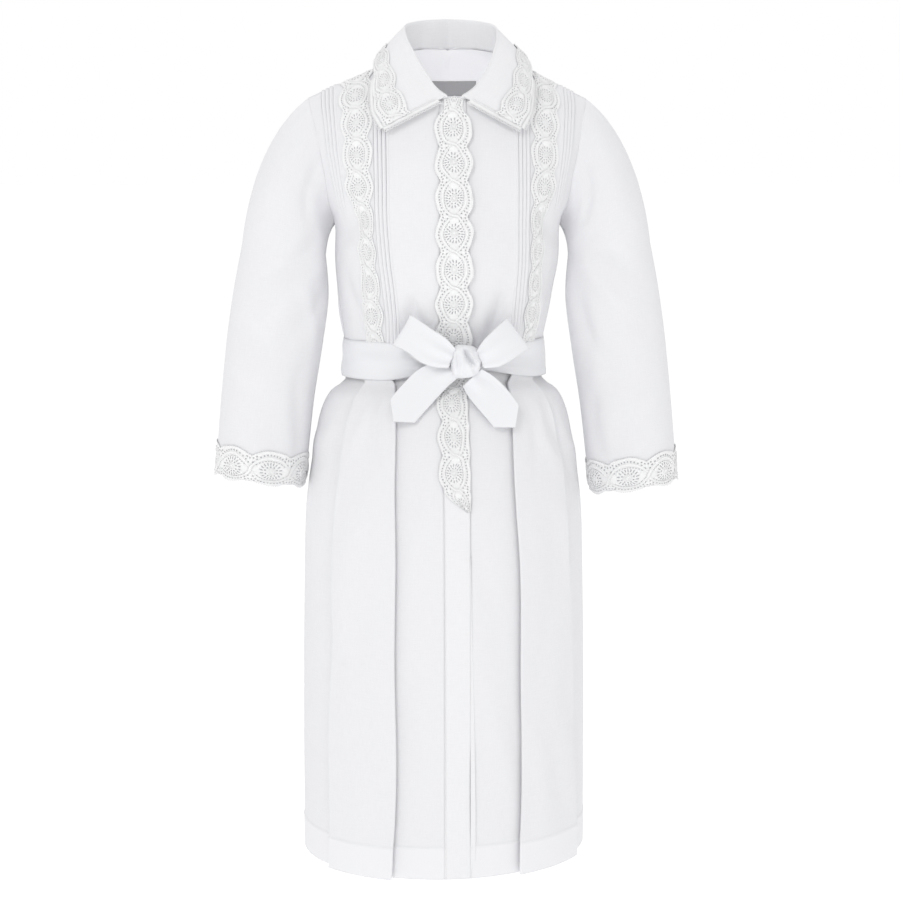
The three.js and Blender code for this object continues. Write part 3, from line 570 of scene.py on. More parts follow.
def fold_net(panel, t, gaps, lines, heights, body_side):
    """Angle, lift and tuck relief of every point of a half panel, a row for each t."""
    row = t[:, None]
    pitch, under, fold, sink = (
        straight(FOLDS[c], t)[:, None] for c in ("pitch", "under", "fold", "sink"))
    plain = -2 * pitch * sink
    flat, depth, reach_mm, level = pleat_path()
    groups = []
    for line, sign, height in zip(lines, (1, -1), heights):
        centre = angle_at(panel, t, straight(FOLDS[line], t) + wander(t, body_side, line))
        reach = lifted(panel, t, centre, 0 * t)[1][:, None]
        order = slice(None) if sign > 0 else slice(None, None, -1)
        folded = sign * (under * depth[order] + reach_mm[order])
        place = mix(np.broadcast_to(flat, folded.shape), folded, fold)
        relief = straight(FOLDS[height], t)[:, None] * tuck_ridges(flat) if height else 0 * place
        groups.append((centre[:, None] + place / reach, plain + level[order] * pitch, relief))
    start = angle_at(panel, t, straight(FOLDS["start"], t)) if panel is FRONT else 0 * t
    end = np.radians(smooth(panel["wrap"], t))
    tucks, sides = groups
    edges = [(start[:, None], tucks[0][:, :1]), (tucks[0][:, -1:], sides[0][:, :1]),
             (sides[0][:, -1:], end[:, None])]
    flats = []
    lifts = (plain, plain + 2 * pitch, plain)
    inner_lines = (slice(None, -1), slice(1, -1), slice(1, None))
    for (low, high), count, lift, kept in zip(edges, gaps, lifts, inner_lines):
        angle = mix(low, high, np.linspace(0, 1, count + 1)[kept])
        flats.append((angle, np.broadcast_to(lift, angle.shape), 0 * angle))
    parts = [flats[0], tucks, flats[1], sides, flats[2]]
    return row, *[np.concatenate([part[k] for part in parts], axis=1) for k in range(3)]


flat_path = pleat_path()[0]
print("pleat path:", len(flat_path), "points over", flat_path[-1], "mm")
ridges = tuck_ridges(flat_path)
print("relief of the tucks, in shares of their height:", ridges.min(), "to", ridges.max())

# %% [markdown]
# A worn robe has soft creases where it is drawn in or bends: above and below the sash, under the
# arms and along the skirt. Each is placed as a line on the cloth with its own width and depth in
# mm. A negative depth is a trough. The back, which the picture doesn't show, gets similar ones.
# %% Creases
FRONT_CREASES = [  # x, z at one end, x, z at the other, width, depth
    (-112, -395, -128, -322, 7, 4.5),
    (-128, -398, -140, -300, 6, -4.0),
    (-98, -392, -104, -345, 5, -2.2),
    (-62, -392, -70, -330, 9, -7.0),
    (-40, -392, -52, -300, 9, 2.2),
    (58, -394, 68, -318, 10, -8.0),
    (42, -392, 40, -330, 7, 2.0),
    (100, -392, 112, -338, 6, -2.4),
    (116, -396, 132, -318, 7, 4.5),
    (133, -398, 146, -290, 6, -3.8),
    (150, -262, 118, -206, 9, -2.6),
    (-150, -262, -122, -212, 9, -2.8),
    (-150, -284, -112, -252, 10, 2.0),
    (148, -286, 108, -250, 11, 1.8),
    (60, -250, 40, -140, 22, -2.0),
    (-58, -260, -42, -150, 24, -1.8),
    (-135, -470, -176, -600, 9, -4.2),
    (-112, -466, -134, -560, 8, 3.2),
    (-98, -470, -108, -560, 6, -3.0),
    (-150, -478, -190, -570, 8, 3.0),
    (-124, -560, -150, -820, 16, 2.6),
    (-160, -640, -172, -900, 14, -3.0),
    (-110, -700, -120, -1090, 18, -2.4),
    (-140, -860, -146, -1120, 14, 2.2),
    (-50, -500, -54, -760, 15, 1.4),
    (-60, -820, -52, -1120, 18, -1.6),
    (30, -620, 44, -900, 15, -1.4),
    (60, -760, 66, -1110, 14, 1.8),
    (40, -900, 30, -1140, 14, -1.4),
    (100, -466, 112, -580, 7, -3.2),
    (116, -468, 142, -590, 8, 3.2),
    (136, -472, 178, -640, 9, -4.0),
    (154, -480, 192, -590, 8, 2.6),
    (120, -620, 132, -940, 17, -2.2),
    (150, -600, 166, -880, 14, 2.8),
    (172, -720, 180, -1040, 14, -2.8),
    (112, -920, 116, -1130, 14, 2.2),
    (148, -940, 152, -1130, 15, -2.0),
]
BACK_CREASES = [
    (-100, -396, -122, -310, 8, -3.0),
    (-60, -394, -54, -300, 9, 2.4),
    (-20, -396, -12, -330, 8, -2.2),
    (30, -396, 26, -290, 10, 2.4),
    (72, -394, 84, -320, 8, -3.0),
    (118, -398, 138, -300, 7, 2.6),
    (-138, -400, -150, -292, 7, 2.4),
    (150, -270, 96, -190, 12, -3.0),
    (-150, -266, -100, -196, 12, -2.8),
    (90, -160, 60, -70, 22, -2.0),
    (-84, -150, -50, -60, 24, -2.2),
    (-130, -470, -170, -610, 9, -4.0),
    (-98, -468, -120, -570, 8, 3.0),
    (-30, -470, -24, -640, 12, -2.4),
    (22, -470, 34, -700, 13, 2.2),
    (104, -470, 132, -600, 9, -3.4),
    (140, -474, 182, -600, 8, 3.0),
    (-150, -620, -164, -920, 15, 2.8),
    (-112, -720, -118, -1090, 17, -2.4),
    (-20, -760, -34, -1130, 20, -2.0),
    (30, -860, 44, -1120, 16, 1.8),
    (124, -640, 136, -980, 16, -2.6),
    (164, -700, 174, -1080, 14, 2.6),
]


def crease_height(across, along, creases):
    """How far the cloth rises at each place, from all the creases together."""
    height = np.zeros_like(across)
    for x0, z0, x1, z1, width, depth in creases:
        run, fall = x1 - x0, z1 - z0
        length = math.hypot(run, fall)
        share = ((across - x0) * run + (along - z0) * fall) / length**2
        bend = 0.05 * length * np.sin(np.pi * np.clip(share, 0, 1) * 1.5 + x0)
        off = ((across - x0) * -fall + (along - z0) * run) / length - bend
        ends = eased(share, -0.12, 0.3) * (1 - eased(share, 0.62, 1.12))
        height += depth * ends * np.exp(-((off / width) ** 2))
    return height


print("creases:", len(FRONT_CREASES), "in front,", len(BACK_CREASES), "behind")

# %% [markdown]
# The two fronts and the back are the robe's main pieces. A row of points runs across each half from
# the centre to the side seam, and the folds, the tucks and the creases move it out of the plain
# surface. The hem is turned up 46 mm, so the cloth is thicker there, with a small step at its
# stitching.
# %% Fronts and back
FRONT_STEP, BACK_STEP = 7.5, 12
HEM_STITCH = -1104


def body_rows(top_row, step):
    """Rows of the tables, close enough together that none is more than step mm from the next."""
    rows = [np.array([0.0])]
    for k in range(top_row):
        drop = max(abs(FRONT[c][k + 1] - FRONT[c][k]) for c in ("in_z", "out_z", "in_x"))
        count = max(3, math.ceil(drop / step))
        rows.append(k + np.arange(1, count + 1) / count)
    near_hem_stitch = [1 - 0.06, 1 - 0.03, 1 + 0.008, 1 + 0.016]
    return np.sort(np.concatenate([*rows, near_hem_stitch]))


def half_panel(panel, t, gaps, lines, heights, side, creases):
    row, phi, lift, relief = fold_net(panel, t, gaps, lines, heights, side)
    plain = panel_point(panel, np.broadcast_to(row, phi.shape), phi)
    turned_up = 0.6 * (1 - eased(plain[..., 2], HEM_STITCH - 1.2, HEM_STITCH + 1.2))
    turned_up += 0.7 * np.exp(-((plain[..., 2] - HEM_STITCH) / 1.6) ** 2)
    crease = crease_height(side * plain[..., 0], plain[..., 2], creases)
    points, _ = lifted(panel, row, phi, lift + relief + turned_up + crease)
    points[..., 0] *= side
    return posed(points)


FRONT_ROWS = body_rows(SHOULDER_ROW, FRONT_STEP)
BACK_ROWS = body_rows(SHOULDER_ROW, BACK_STEP)
FRONT_LAYOUT = ((16, 20, 14), ("tuck", "side"), ("tuck_height", "side_height"))
BACK_LAYOUT = ((12, 16, 12), ("back_tuck", "back_side"), (None, None))
BODY_MIDDLE = (0, 0, -500)
for name, side in (("front_right", -1), ("front_left", 1)):
    net = half_panel(FRONT, FRONT_ROWS, *FRONT_LAYOUT, side, FRONT_CREASES)
    cloth_sheet(name + "_cloth", net, BODY_MIDDLE, BODY_LINEN, replaces=[name], lining=INNER_PAINTED_LIGHT)
back_halves = [half_panel(BACK, BACK_ROWS, *BACK_LAYOUT, side, BACK_CREASES) for side in (-1, 1)]
print("rows:", len(FRONT_ROWS), "in front and", len(BACK_ROWS), "behind")

# %% [markdown]
# The back is one piece, so its two halves are joined into one net before it becomes a sheet: the
# right half is read backwards, and the line on the centre is kept once. Above the neckline's middle
# there is nothing between the halves, so there each half goes on alone to its shoulder, and the
# points that meet are merged.
# %% Back
NECK_BACK_ROW = 18
below = BACK_ROWS <= NECK_BACK_ROW + 1e-9
right_half, left_half = back_halves
lower_back = np.concatenate([right_half[below][:, ::-1], left_half[below][:, 1:]], axis=1)
back_form = net_form("back", lower_back)
first = int(np.nonzero(below)[0][-1])
for name, half in (("right shoulder", right_half[:, ::-1]), ("left shoulder", left_half)):
    shoulder = net_form(name, half[first:], first_row_at=1000.0)
    shoulder_mesh = bpy.data.meshes.new("shoulder")
    shoulder.to_mesh(shoulder_mesh)
    shoulder.free()
    back_form.from_mesh(shoulder_mesh)
    bpy.data.meshes.remove(shoulder_mesh)
bmesh.ops.remove_doubles(back_form, verts=back_form.verts, dist=1e-5)
turn_outwards(back_form, BODY_MIDDLE)
finish_sheet("back_cloth", back_form, BODY_LINEN, 0.7, ["back"], INNER_PAINTED_LIGHT)

# %% [markdown]
# The button band hides the closing. It is two strips on the centre of the fronts: the one that
# shows, and the one under it, which lies a little to the side as the button side does. Near the hem
# the front opens slightly, so the edge of the button side looks out beside the band.
# %% Button bands
STITCHES_IN, STITCHES_SINK = 1.6, 0.27  # mm from the edge of a band, and mm into its cloth
OPENING_TOP_ROW, OPENING_WIDTH = 3.6, 6.5
BAND_HALF = 18.0


def front_place(t, x, lift):
    """Points of the plain front at row t and x mm from its centre; t and x are arrays of one shape."""
    t, x, lift = np.broadcast_arrays(np.asarray(t, float), x, lift)
    plain = -2 * straight(FOLDS["pitch"], t) * straight(FOLDS["sink"], t)
    points, _ = lifted(FRONT, t, angle_at(FRONT, t, np.abs(x)), plain + lift)
    points[..., 0] *= np.where(x < 0, -1, 1)
    points[..., 0] = np.where(np.abs(x) < 1e-6, 0, points[..., 0])
    return points


def rows_up_to(top_row):
    return FRONT_ROWS[FRONT_ROWS <= top_row][:, None]


def band_net(low, high, lift, columns=12):
    """A band from low to high mm beside the centre, drawn in by a line of stitches at each edge."""
    across = np.linspace(low, high, columns + 1)[None, :]
    t = rows_up_to(NECK_FRONT_ROW)
    from_edge = np.minimum(across - low, high - across)
    lift = lift - STITCHES_SINK * np.exp(-((from_edge - STITCHES_IN) / 0.8) ** 2)
    points = front_place(t, across, lift)
    crease = crease_height(points[..., 0], points[..., 2], FRONT_CREASES)
    return posed(front_place(t, across, lift + crease))


band = band_net(-BAND_HALF, BAND_HALF, 0.6)
cloth_sheet("button_band_cloth", band, BODY_MIDDLE, DOUBLE, 0.9, ["button_band"])
cloth_sheet("under_band_cloth", band_net(-17, 25, -1.8), BODY_MIDDLE, DOUBLE, 0.7, ["under_band"])
lower_rows = rows_up_to(OPENING_TOP_ROW)
over = np.linspace(0, 1, 7)[None, :]
edge_x = 17.5 + over * (1 + OPENING_WIDTH * (1 - eased(lower_rows, 1.2, 3.5)))
edge_net = posed(front_place(lower_rows, edge_x, 0.35 + 0.25 * (1 - over)))
cloth_sheet("closing_edge_cloth", edge_net, BODY_MIDDLE, DOUBLE, 0.4)

# %% [markdown]
# The sleeves are tubes. Their upper end is the armhole, which has no round shape of its own, so a
# cubic curve takes each point of the armhole outwards and down into the first ring of the arm. The
# creases run slantwise from the armpit, where a hanging arm bends the cloth.
# %% Sleeve surface
SLEEVE_COLUMNS = ("x", "y", "z", "half_width", "half_depth")
SLEEVE = columns_of(SLEEVE_COLUMNS, [
    ("under the arm", 232, -4, -272, 59.5, 50),
    ("upper arm", 236, -6, -330, 67, 52),
    ("elbow", 246, -8, -400, 68, 52),
    ("forearm", 257, -11, -480, 66, 50),
    ("wrist", 265, -15, -556, 65, 48),
    ("cuff", 270.5, -18, -604, 63.5, 46),
])
SLEEVE_TILT = math.radians(8)
CAP = {"front_lean": 0.28, "fall": 0.72, "underarm_fall": 0.5, "leave": 0.29, "arrive": 0.38}
TURN = 16  # round a sleeve, as the CAD part counts its columns
SEAM_GAP = 0.6


def sleeve_ring(section, turn, rise=0.0):
    x, y, z, wide, deep = (smooth(SLEEVE[c], section) for c in SLEEVE_COLUMNS)
    around = 2 * np.pi * turn / TURN
    out = np.cos(around) * (wide + rise)
    return np.stack([x + out * math.cos(SLEEVE_TILT), y - np.sin(around) * (deep + rise),
                     z + out * math.sin(SLEEVE_TILT)], axis=-1)


def armhole(turn):
    """From the shoulder down the front to the armpit, and up the back."""
    def edge(panel, row):
        return panel_point(panel, row, np.radians(smooth(panel["wrap"], row)))

    front = edge(FRONT, np.clip(SHOULDER_ROW - turn, ARMPIT_ROW, SHOULDER_ROW))
    behind = edge(BACK, np.clip(ARMPIT_ROW + turn - 8, ARMPIT_ROW, SHOULDER_ROW - 1))
    last_behind = edge(BACK, np.full_like(turn, SHOULDER_ROW - 1.0))
    first_in_front = edge(FRONT, np.full_like(turn, float(SHOULDER_ROW)))
    closing = mix(last_behind, first_in_front, np.clip(turn - 15, 0, 1)[:, None])
    points = np.where((turn <= 8)[:, None], front, behind)
    return np.where((turn > 15)[:, None], closing, points)


def sleeve_cap(share, turn):
    hole = armhole(turn)
    end = sleeve_ring(np.zeros_like(turn), turn)
    span = np.linalg.norm(end - hole, axis=-1, keepdims=True)
    around = 2 * np.pi * turn / TURN
    fall = CAP["fall"] + CAP["underarm_fall"] * (1 - np.cos(around)) / 2
    away = np.stack([np.ones_like(turn), -CAP["front_lean"] * np.sin(around), -fall], axis=-1)
    away /= np.linalg.norm(away, axis=-1, keepdims=True)
    axis = np.array([0.12, 0, -1]) / math.hypot(0.12, 1)
    seam = hole + SEAM_GAP * away
    corners = (seam, seam + span * CAP["leave"] * away, end - span * CAP["arrive"] * axis, end)
    weights = ((1 - share) ** 3, 3 * (1 - share) ** 2 * share, 3 * (1 - share) * share**2, share**3)
    return sum(w * c for w, c in zip(weights, corners))


hole_points = armhole(np.array([0.0, 4.0, 8.0, 12.0]))
print("armhole at shoulder, front, armpit, back:", hole_points.round().tolist())

# %% [markdown]
# Both sleeves use one surface. Their creases are placed in mm round the sleeve, from the middle of
# its front towards the body, and down it.
# %% Sleeves
RIGHT_SLEEVE_CREASES = [  # round, down at one end, round, down at the other, width, depth
    (62, -232, -22, -318, 13, -5.0),
    (64, -262, -14, -380, 13, 4.0),
    (70, -300, 4, -430, 13, -4.4),
    (30, -300, 52, -420, 10, 2.6),
    (-58, -372, -8, -424, 12, -3.0),
    (-66, -420, -6, -470, 13, 2.4),
    (48, -420, 40, -590, 12, -3.4),
    (-12, -110, -34, -250, 24, 3.0),
    (26, -120, 34, -226, 10, -4.0),
    (-40, -470, -28, -590, 16, 2.0),
    (16, -460, 6, -590, 14, -2.0),
    (130, -250, 190, -350, 14, -4.0),
    (124, -290, 200, -420, 14, 3.4),
    (150, -400, 170, -560, 14, -3.0),
    (210, -150, 220, -260, 22, 3.0),
]
LEFT_SLEEVE_CREASES = [
    (60, -236, -30, -300, 12, -4.6),
    (66, -270, -18, -360, 13, 4.2),
    (68, -310, -2, -460, 14, -4.6),
    (34, -330, 46, -470, 11, 2.4),
    (-52, -330, -16, -392, 13, -2.8),
    (-60, -440, 2, -500, 13, 2.4),
    (50, -450, 44, -596, 12, -3.2),
    (-14, -120, -30, -260, 24, 3.0),
    (28, -118, 38, -220, 10, -4.4),
    (-34, -500, -36, -596, 15, 2.0),
    (12, -490, 16, -596, 14, -2.0),
    (134, -260, 196, -340, 14, -3.8),
    (126, -300, 206, -440, 14, 3.2),
    (156, -420, 166, -580, 14, -3.0),
    (214, -140, 224, -250, 22, 3.0),
]
SLEEVES = (("right", -1, RIGHT_SLEEVE_CREASES), ("left", 1, LEFT_SLEEVE_CREASES))


def sleeve_middle(side):
    return (side * 245, -8, -400)


MEAN_RADIUS = 58


def sleeve_creased(net, centre, turn, creases):
    """The net of a sleeve with its creases; turn says where each column is, round the sleeve."""
    outwards = net - centre
    outwards[..., 2] *= 0.3
    outwards = outwards / np.linalg.norm(outwards, axis=-1, keepdims=True)
    height = np.broadcast_to(centre[..., 2], net.shape[:-1])
    girth = 2 * np.pi * MEAN_RADIUS
    around = np.broadcast_to((turn - 4) / TURN * girth, height.shape)
    rise = crease_height(around, height, creases) + crease_height(around + girth, height, creases)
    return net + outwards * rise[..., None]


def sleeve_net(creases, columns=104, cap_rows=34, arm_rows=52):
    turn = np.linspace(0, TURN, columns + 1)
    cap = [sleeve_cap(share, turn) for share in np.linspace(0, 1, cap_rows + 1)[:-1]]
    arm = [sleeve_ring(np.full_like(turn, section), turn) for section in np.linspace(0, 5, arm_rows + 1)]
    seam = cap[0] - [4.0, 0, 0] + 0.02 * (cap[0] - cap[0].mean(axis=0)) * [-1, -1, -1]
    net = np.array([seam] + cap + arm)
    net = sleeve_creased(net, net[:, :-1].mean(axis=1, keepdims=True), turn, creases)
    net[:, -1] = net[:, 0]
    return net


for tag, side, creases in SLEEVES:
    net = sleeve_net(creases)
    net[..., 0] *= side
    cloth_sheet(f"sleeve_{tag}_cloth", posed_sleeve(net), sleeve_middle(side), LINEN,
                replaces=["sleeve_" + tag], closed=True, lining=INNER_PAINTED_LIGHT)

# %% [markdown]
# The collar is a stand that rises from the neckline, turns over at its fold and falls as a leaf
# with two points. A smooth curve runs through the few points of each station, so its fold is round
# and its leaf stands a little away from the robe.
# %% Collar surface
COLLAR_COLUMNS = [part + axis for part in ("seam_", "fold_", "edge_") for axis in "xyz"]
COLLAR = columns_of(COLLAR_COLUMNS, [
    ("front end", 16, -88, -66, 11, -95, -60, 95, -92, -104),
    ("front", 32, -76, -54, 27, -87, -48, 107, -80, -82),
    ("front curve", 54, -54, -40, 45, -66, -22, 111, -60, -55),
    ("front side", 66, -33, -18, 58, -41, 6, 110, -37, -26),
    ("side", 72, -14, -4, 64, -14, 24, 108, -10, -12),
    ("back side", 66, 18, 2, 63, 18, 40, 98, 38, -12),
    ("back curve", 40, 46, 8, 38, 46, 48, 64, 76, -10),
    ("back", 0, 62, 8, 0, 58, 51, 0, 94, -14),
])
COLLAR_FOLD = 3
LEAF_BULGE = 4
LAST_STATION = 7
ABOVE_NECK = (0, -10, 60)


def along_unit(vector):
    return vector / np.linalg.norm(vector, axis=-1, keepdims=True)


def collar_corners(s):
    """Seam, fold and edge of the collar at each station s; the fold and edge are smooth curves."""
    seam = np.stack([straight(COLLAR["seam_" + a], s) for a in "xyz"], axis=-1)
    fold, edge = (np.stack([smooth(COLLAR[part + a], s) for a in "xyz"], axis=-1)
                  for part in ("fold_", "edge_"))
    return seam, fold, edge


def leaf_place(s, share, lift=0.0):
    """The leaf: share 0 at its fold and 1 at its edge, lift mm above it."""
    s, share, lift = np.broadcast_arrays(np.asarray(s, float), share, lift)
    _, fold, edge = collar_corners(s)
    away = along_unit((edge - fold) * [1, 1, 0])
    down = along_unit(edge - fold)
    over = along_unit(away - down * (away * down).sum(-1, keepdims=True))
    front = np.array([0, -1, 0]) * np.clip(1 - s / 3, 0, None)[..., None]
    rise = along_unit(over * np.clip(s / 3, 0, 1)[..., None] + front)
    start = fold + away * COLLAR_FOLD + [0, 0, -COLLAR_FOLD * 0.8]
    bulge = LEAF_BULGE * 4 * share * (1 - share) + lift
    return mix(start, edge, share[..., None]) + rise * bulge[..., None]


def collar_line(s, count):
    """count + 1 points at each station, from the neckline over the fold to the leaf's edge."""
    seam, fold, edge = collar_corners(s)
    away = along_unit((edge - fold) * [1, 1, 0])
    inward = fold - away * COLLAR_FOLD * 0.6
    base = seam + [0, 0, 0.8] - away
    stand = [base, mix(base, inward, 0.5), inward - [0, 0, COLLAR_FOLD], fold + [0, 0, 0.6]]
    leaf = [leaf_place(s, share) for share in np.linspace(0, 1, 6)]
    control = np.array(stand + leaf)
    return np.moveaxis(smooth(control, np.linspace(0, len(control) - 1, count + 1)), 0, 1)


def both_sides(half):
    """A net whose rows run from the back to the front end, with its mirror image joined on."""
    other = half[1:][::-1] * [-1, 1, 1]
    return np.concatenate([other, half])


collar_stations = np.linspace(LAST_STATION, 0, 91)
collar_net = both_sides(collar_line(collar_stations, 34))
cloth_sheet("collar_cloth", posed(collar_net), ABOVE_NECK, DOUBLE, 1.3, ["collar"])

# %% [markdown]
# The lace is a strip about 50 mm wide: two flat tapes wave along it and cross, and each loop
# between them holds a round motif with rings of small holes. Its edges bulge with the motifs. Every
# strip is drawn on one flat plan, a mm along and b mm across, and a rule for each place carries the
# plan onto the cloth.
# %% Plan of the lace
REPEAT = 51.0
LACE_HALF = 21.5
SCALLOP = 7.5
LACE_PHASE = 0.625
TAPE_SWING = 16.4
TAPE_HALF = 1.9


def scallop(phase):
    return SCALLOP * (np.abs(np.sin(np.pi * phase)) - 0.5)


def plain_half(a):
    return LACE_HALF + scallop(a / REPEAT)


def tape_swing(a):
    """Distance of a tape's middle from the strip's middle: the tapes cross where each repeat begins."""
    return TAPE_SWING * np.abs(np.sin(np.pi * a / REPEAT)) ** 0.62


def motif_holes():
    """Centre, half length, half width and angle of each hole in one repeat."""
    middle = REPEAT / 2
    holes = []
    for share, count, stretch, wide in ((0.46, 10, 0.0, 1.05), (0.72, 18, 0.14, 0.75)):
        for turn in (np.arange(count) + 0.5) * 2 * np.pi / count:
            radius = 1 / math.hypot(math.cos(turn) / 17, math.sin(turn) / (TAPE_SWING - TAPE_HALF))
            place = (middle + share * radius * math.cos(turn), share * radius * math.sin(turn))
            holes.append((*place, max(stretch * radius, wide), wide, turn))
    for side in (-1, 1):
        for a in np.arange(8, REPEAT - 7.9, 3.5):
            slope = side * math.atan(float(tape_swing(a + 1) - tape_swing(a - 1)) / 2)
            holes.append((a, side * (float(tape_swing(a)) - TAPE_HALF - 1.0), 1.35, 0.45, slope))
        for a in np.arange(7, REPEAT - 6.9, 4.1):
            holes.append((a, side * (float(tape_swing(a)) + TAPE_HALF + 2.0), 1.2, 1.05, 0.0))
        for a in (2.2, 6.0, REPEAT - 6.0, REPEAT - 2.2):
            holes.append((a, side * (float(plain_half(a)) - 3.6), 1.2, 1.0, 0.0))
        for a, b in ((3.4, 9.4), (REPEAT - 3.4, 9.4)):
            holes.append((a, side * b, 1.3, 1.1, 0.0))
    return holes


print("holes in one repeat of lace:", len(motif_holes()))

# %% [markdown]
# One repeat is filled once: its outline and its holes are circles of edges, moved into shape, and a
# triangle fill covers what lies between them. Copies in a row make the strip, and it is cut to
# length on the plan. The holes are real ones. A thin darker sheet below them paints the shade in them.
# %% Lace sheet with holes
def outline_of_repeat(steps=24, ends=7):
    a = np.linspace(0, REPEAT, steps + 1)
    low, high = -plain_half(a), plain_half(a)
    b = np.linspace(low[0], high[0], ends + 1)[1:-1]
    right_way = [*zip(a, low), *zip(np.full_like(b, REPEAT), b), *zip(a[::-1], high[::-1])]
    return right_way + [*zip(np.zeros_like(b), b[::-1])]


def one_repeat():
    form = bmesh.new()
    outline = outline_of_repeat()
    border = bmesh.ops.create_circle(form, segments=len(outline), radius=1)["verts"]
    for vertex, place in zip(border, outline):
        vertex.co = (*place, 0)
    for a, b, long, wide, turn in motif_holes():
        cos, sin = math.cos(turn), math.sin(turn)
        for vertex in bmesh.ops.create_circle(form, segments=8, radius=1)["verts"]:
            x, y = vertex.co.x * long, vertex.co.y * wide
            vertex.co = (a + x * cos - y * sin, b + x * sin + y * cos, 0)
    bmesh.ops.triangle_fill(form, edges=form.edges, use_beauty=True)
    mesh = bpy.data.meshes.new("lace_repeat")
    form.to_mesh(mesh)
    form.free()
    return mesh


REPEAT_MESH = one_repeat()
print("faces in one repeat:", len(REPEAT_MESH.polygons))


def holed_sheet(name, start, end, carried, inside):
    """Repeats in a row from start to end mm on the plan, carried onto the cloth by carried(a, b)."""
    form = bmesh.new()
    for k in range(math.floor(start / REPEAT), math.ceil(end / REPEAT)):
        first = len(form.verts)
        form.from_mesh(REPEAT_MESH)
        form.verts.ensure_lookup_table()
        bmesh.ops.translate(form, verts=form.verts[first:], vec=(k * REPEAT, 0, 0))
    bmesh.ops.remove_doubles(form, verts=form.verts, dist=1e-3)
    for place, way in ((start, -1), (end, 1)):
        parts = [*form.verts, *form.edges, *form.faces]
        bmesh.ops.bisect_plane(form, geom=parts, plane_co=(place, 0, 0), plane_no=(way, 0, 0),
                               clear_outer=True)
    flat = np.array([vertex.co for vertex in form.verts])
    layer = form.loops.layers.uv.new("along_cloth")
    for face in form.faces:
        for loop in face.loops:
            loop[layer].uv = (loop.vert.co.y * MM, loop.vert.co.x * MM)
    for vertex, point in zip(form.verts, carried(flat[:, 0], flat[:, 1]) * MM):
        vertex.co = point
    turn_outwards(form, inside)
    finish_sheet(name, form, CORD, 0.5)


# %% [markdown]
# The tapes lie on this sheet. Where they cross, one always passes over the other on the same slant.
# Small teeth stand out along the edges. The teeth and the rings in the motifs are cords: Curve
# splines with a round section, turned into one mesh.
# %% Tapes and cords
def ring(centre, radius, count):
    turn = np.linspace(0, 2 * np.pi, count + 1)
    return np.stack([centre + radius * np.cos(turn), radius * np.sin(turn)], axis=-1)


def cords_mesh(name, lines, place, radius, lift):
    """Round cords along plan lines, each carried onto the cloth by place(a, b, lift)."""
    data = bpy.data.curves.new(name, "CURVE")
    data.dimensions = "3D"
    data.bevel_depth = radius * MM
    data.bevel_resolution = 0
    data.use_fill_caps = True
    ends = np.cumsum([0] + [len(line) for line in lines])
    flat = np.concatenate(lines)
    points = place(flat[:, 0], flat[:, 1], lift) * MM
    for low, high in zip(ends[:-1], ends[1:]):
        spline = data.splines.new("POLY")
        spline.points.add(high - low - 1)
        homogeneous = np.concatenate([points[low:high], np.ones((high - low, 1))], axis=1)
        spline.points.foreach_set("co", homogeneous.astype(np.float32).ravel())
    curve = add_object(name, data)
    bpy.context.view_layer.update()
    depsgraph = bpy.context.evaluated_depsgraph_get()
    mesh = bpy.data.meshes.new_from_object(curve.evaluated_get(depsgraph))
    bpy.data.objects.remove(curve)
    mesh.name = name
    layer = mesh.uv_layers[0] if mesh.uv_layers else mesh.uv_layers.new(name="along_cloth")
    layer.name = "along_cloth"
    mesh.materials.clear()
    print(name, len(lines), "cords,", len(mesh.polygons), "faces")
    return add_piece(name, mesh, CORD)


def ribbon_points(line, offsets, lifts, place):
    """A net along a plan line, with one column for each offset across it."""
    along = along_unit(np.gradient(line, axis=0))
    across = np.stack([-along[:, 1], along[:, 0]], axis=-1)
    net = line[:, None] + across[:, None] * np.asarray(offsets)[None, :, None]
    lift = np.broadcast_to(lifts, net.shape[:2])
    return place(net[..., 0].ravel(), net[..., 1].ravel(), lift.ravel()).reshape(*net.shape[:2], 3)


# Each profile has how far across and how high each of its points lies, in mm.
TAPE_PROFILE = ((-2.0, -0.2), (-1.6, 1.0), (-1.0, 0.3), (0.0, 0.2), (1.0, 0.3), (1.6, 1.0), (2.0, -0.2))
EDGE_PROFILE = ((-0.8, 0.0), (-0.4, 0.5), (0.4, 0.5), (0.8, 0.0))
# The lace's ground is the darker sheet under it, which paints the shade in the holes.
SHEET_LIFT, TAPE_LIFT, EDGE_LIFT, CORD_LIFT = 0.7, 0.75, 0.6, 0.8  # above the ground of the lace
RINGS, TOOTH_PITCH = (2.4, 4.6), 2.9


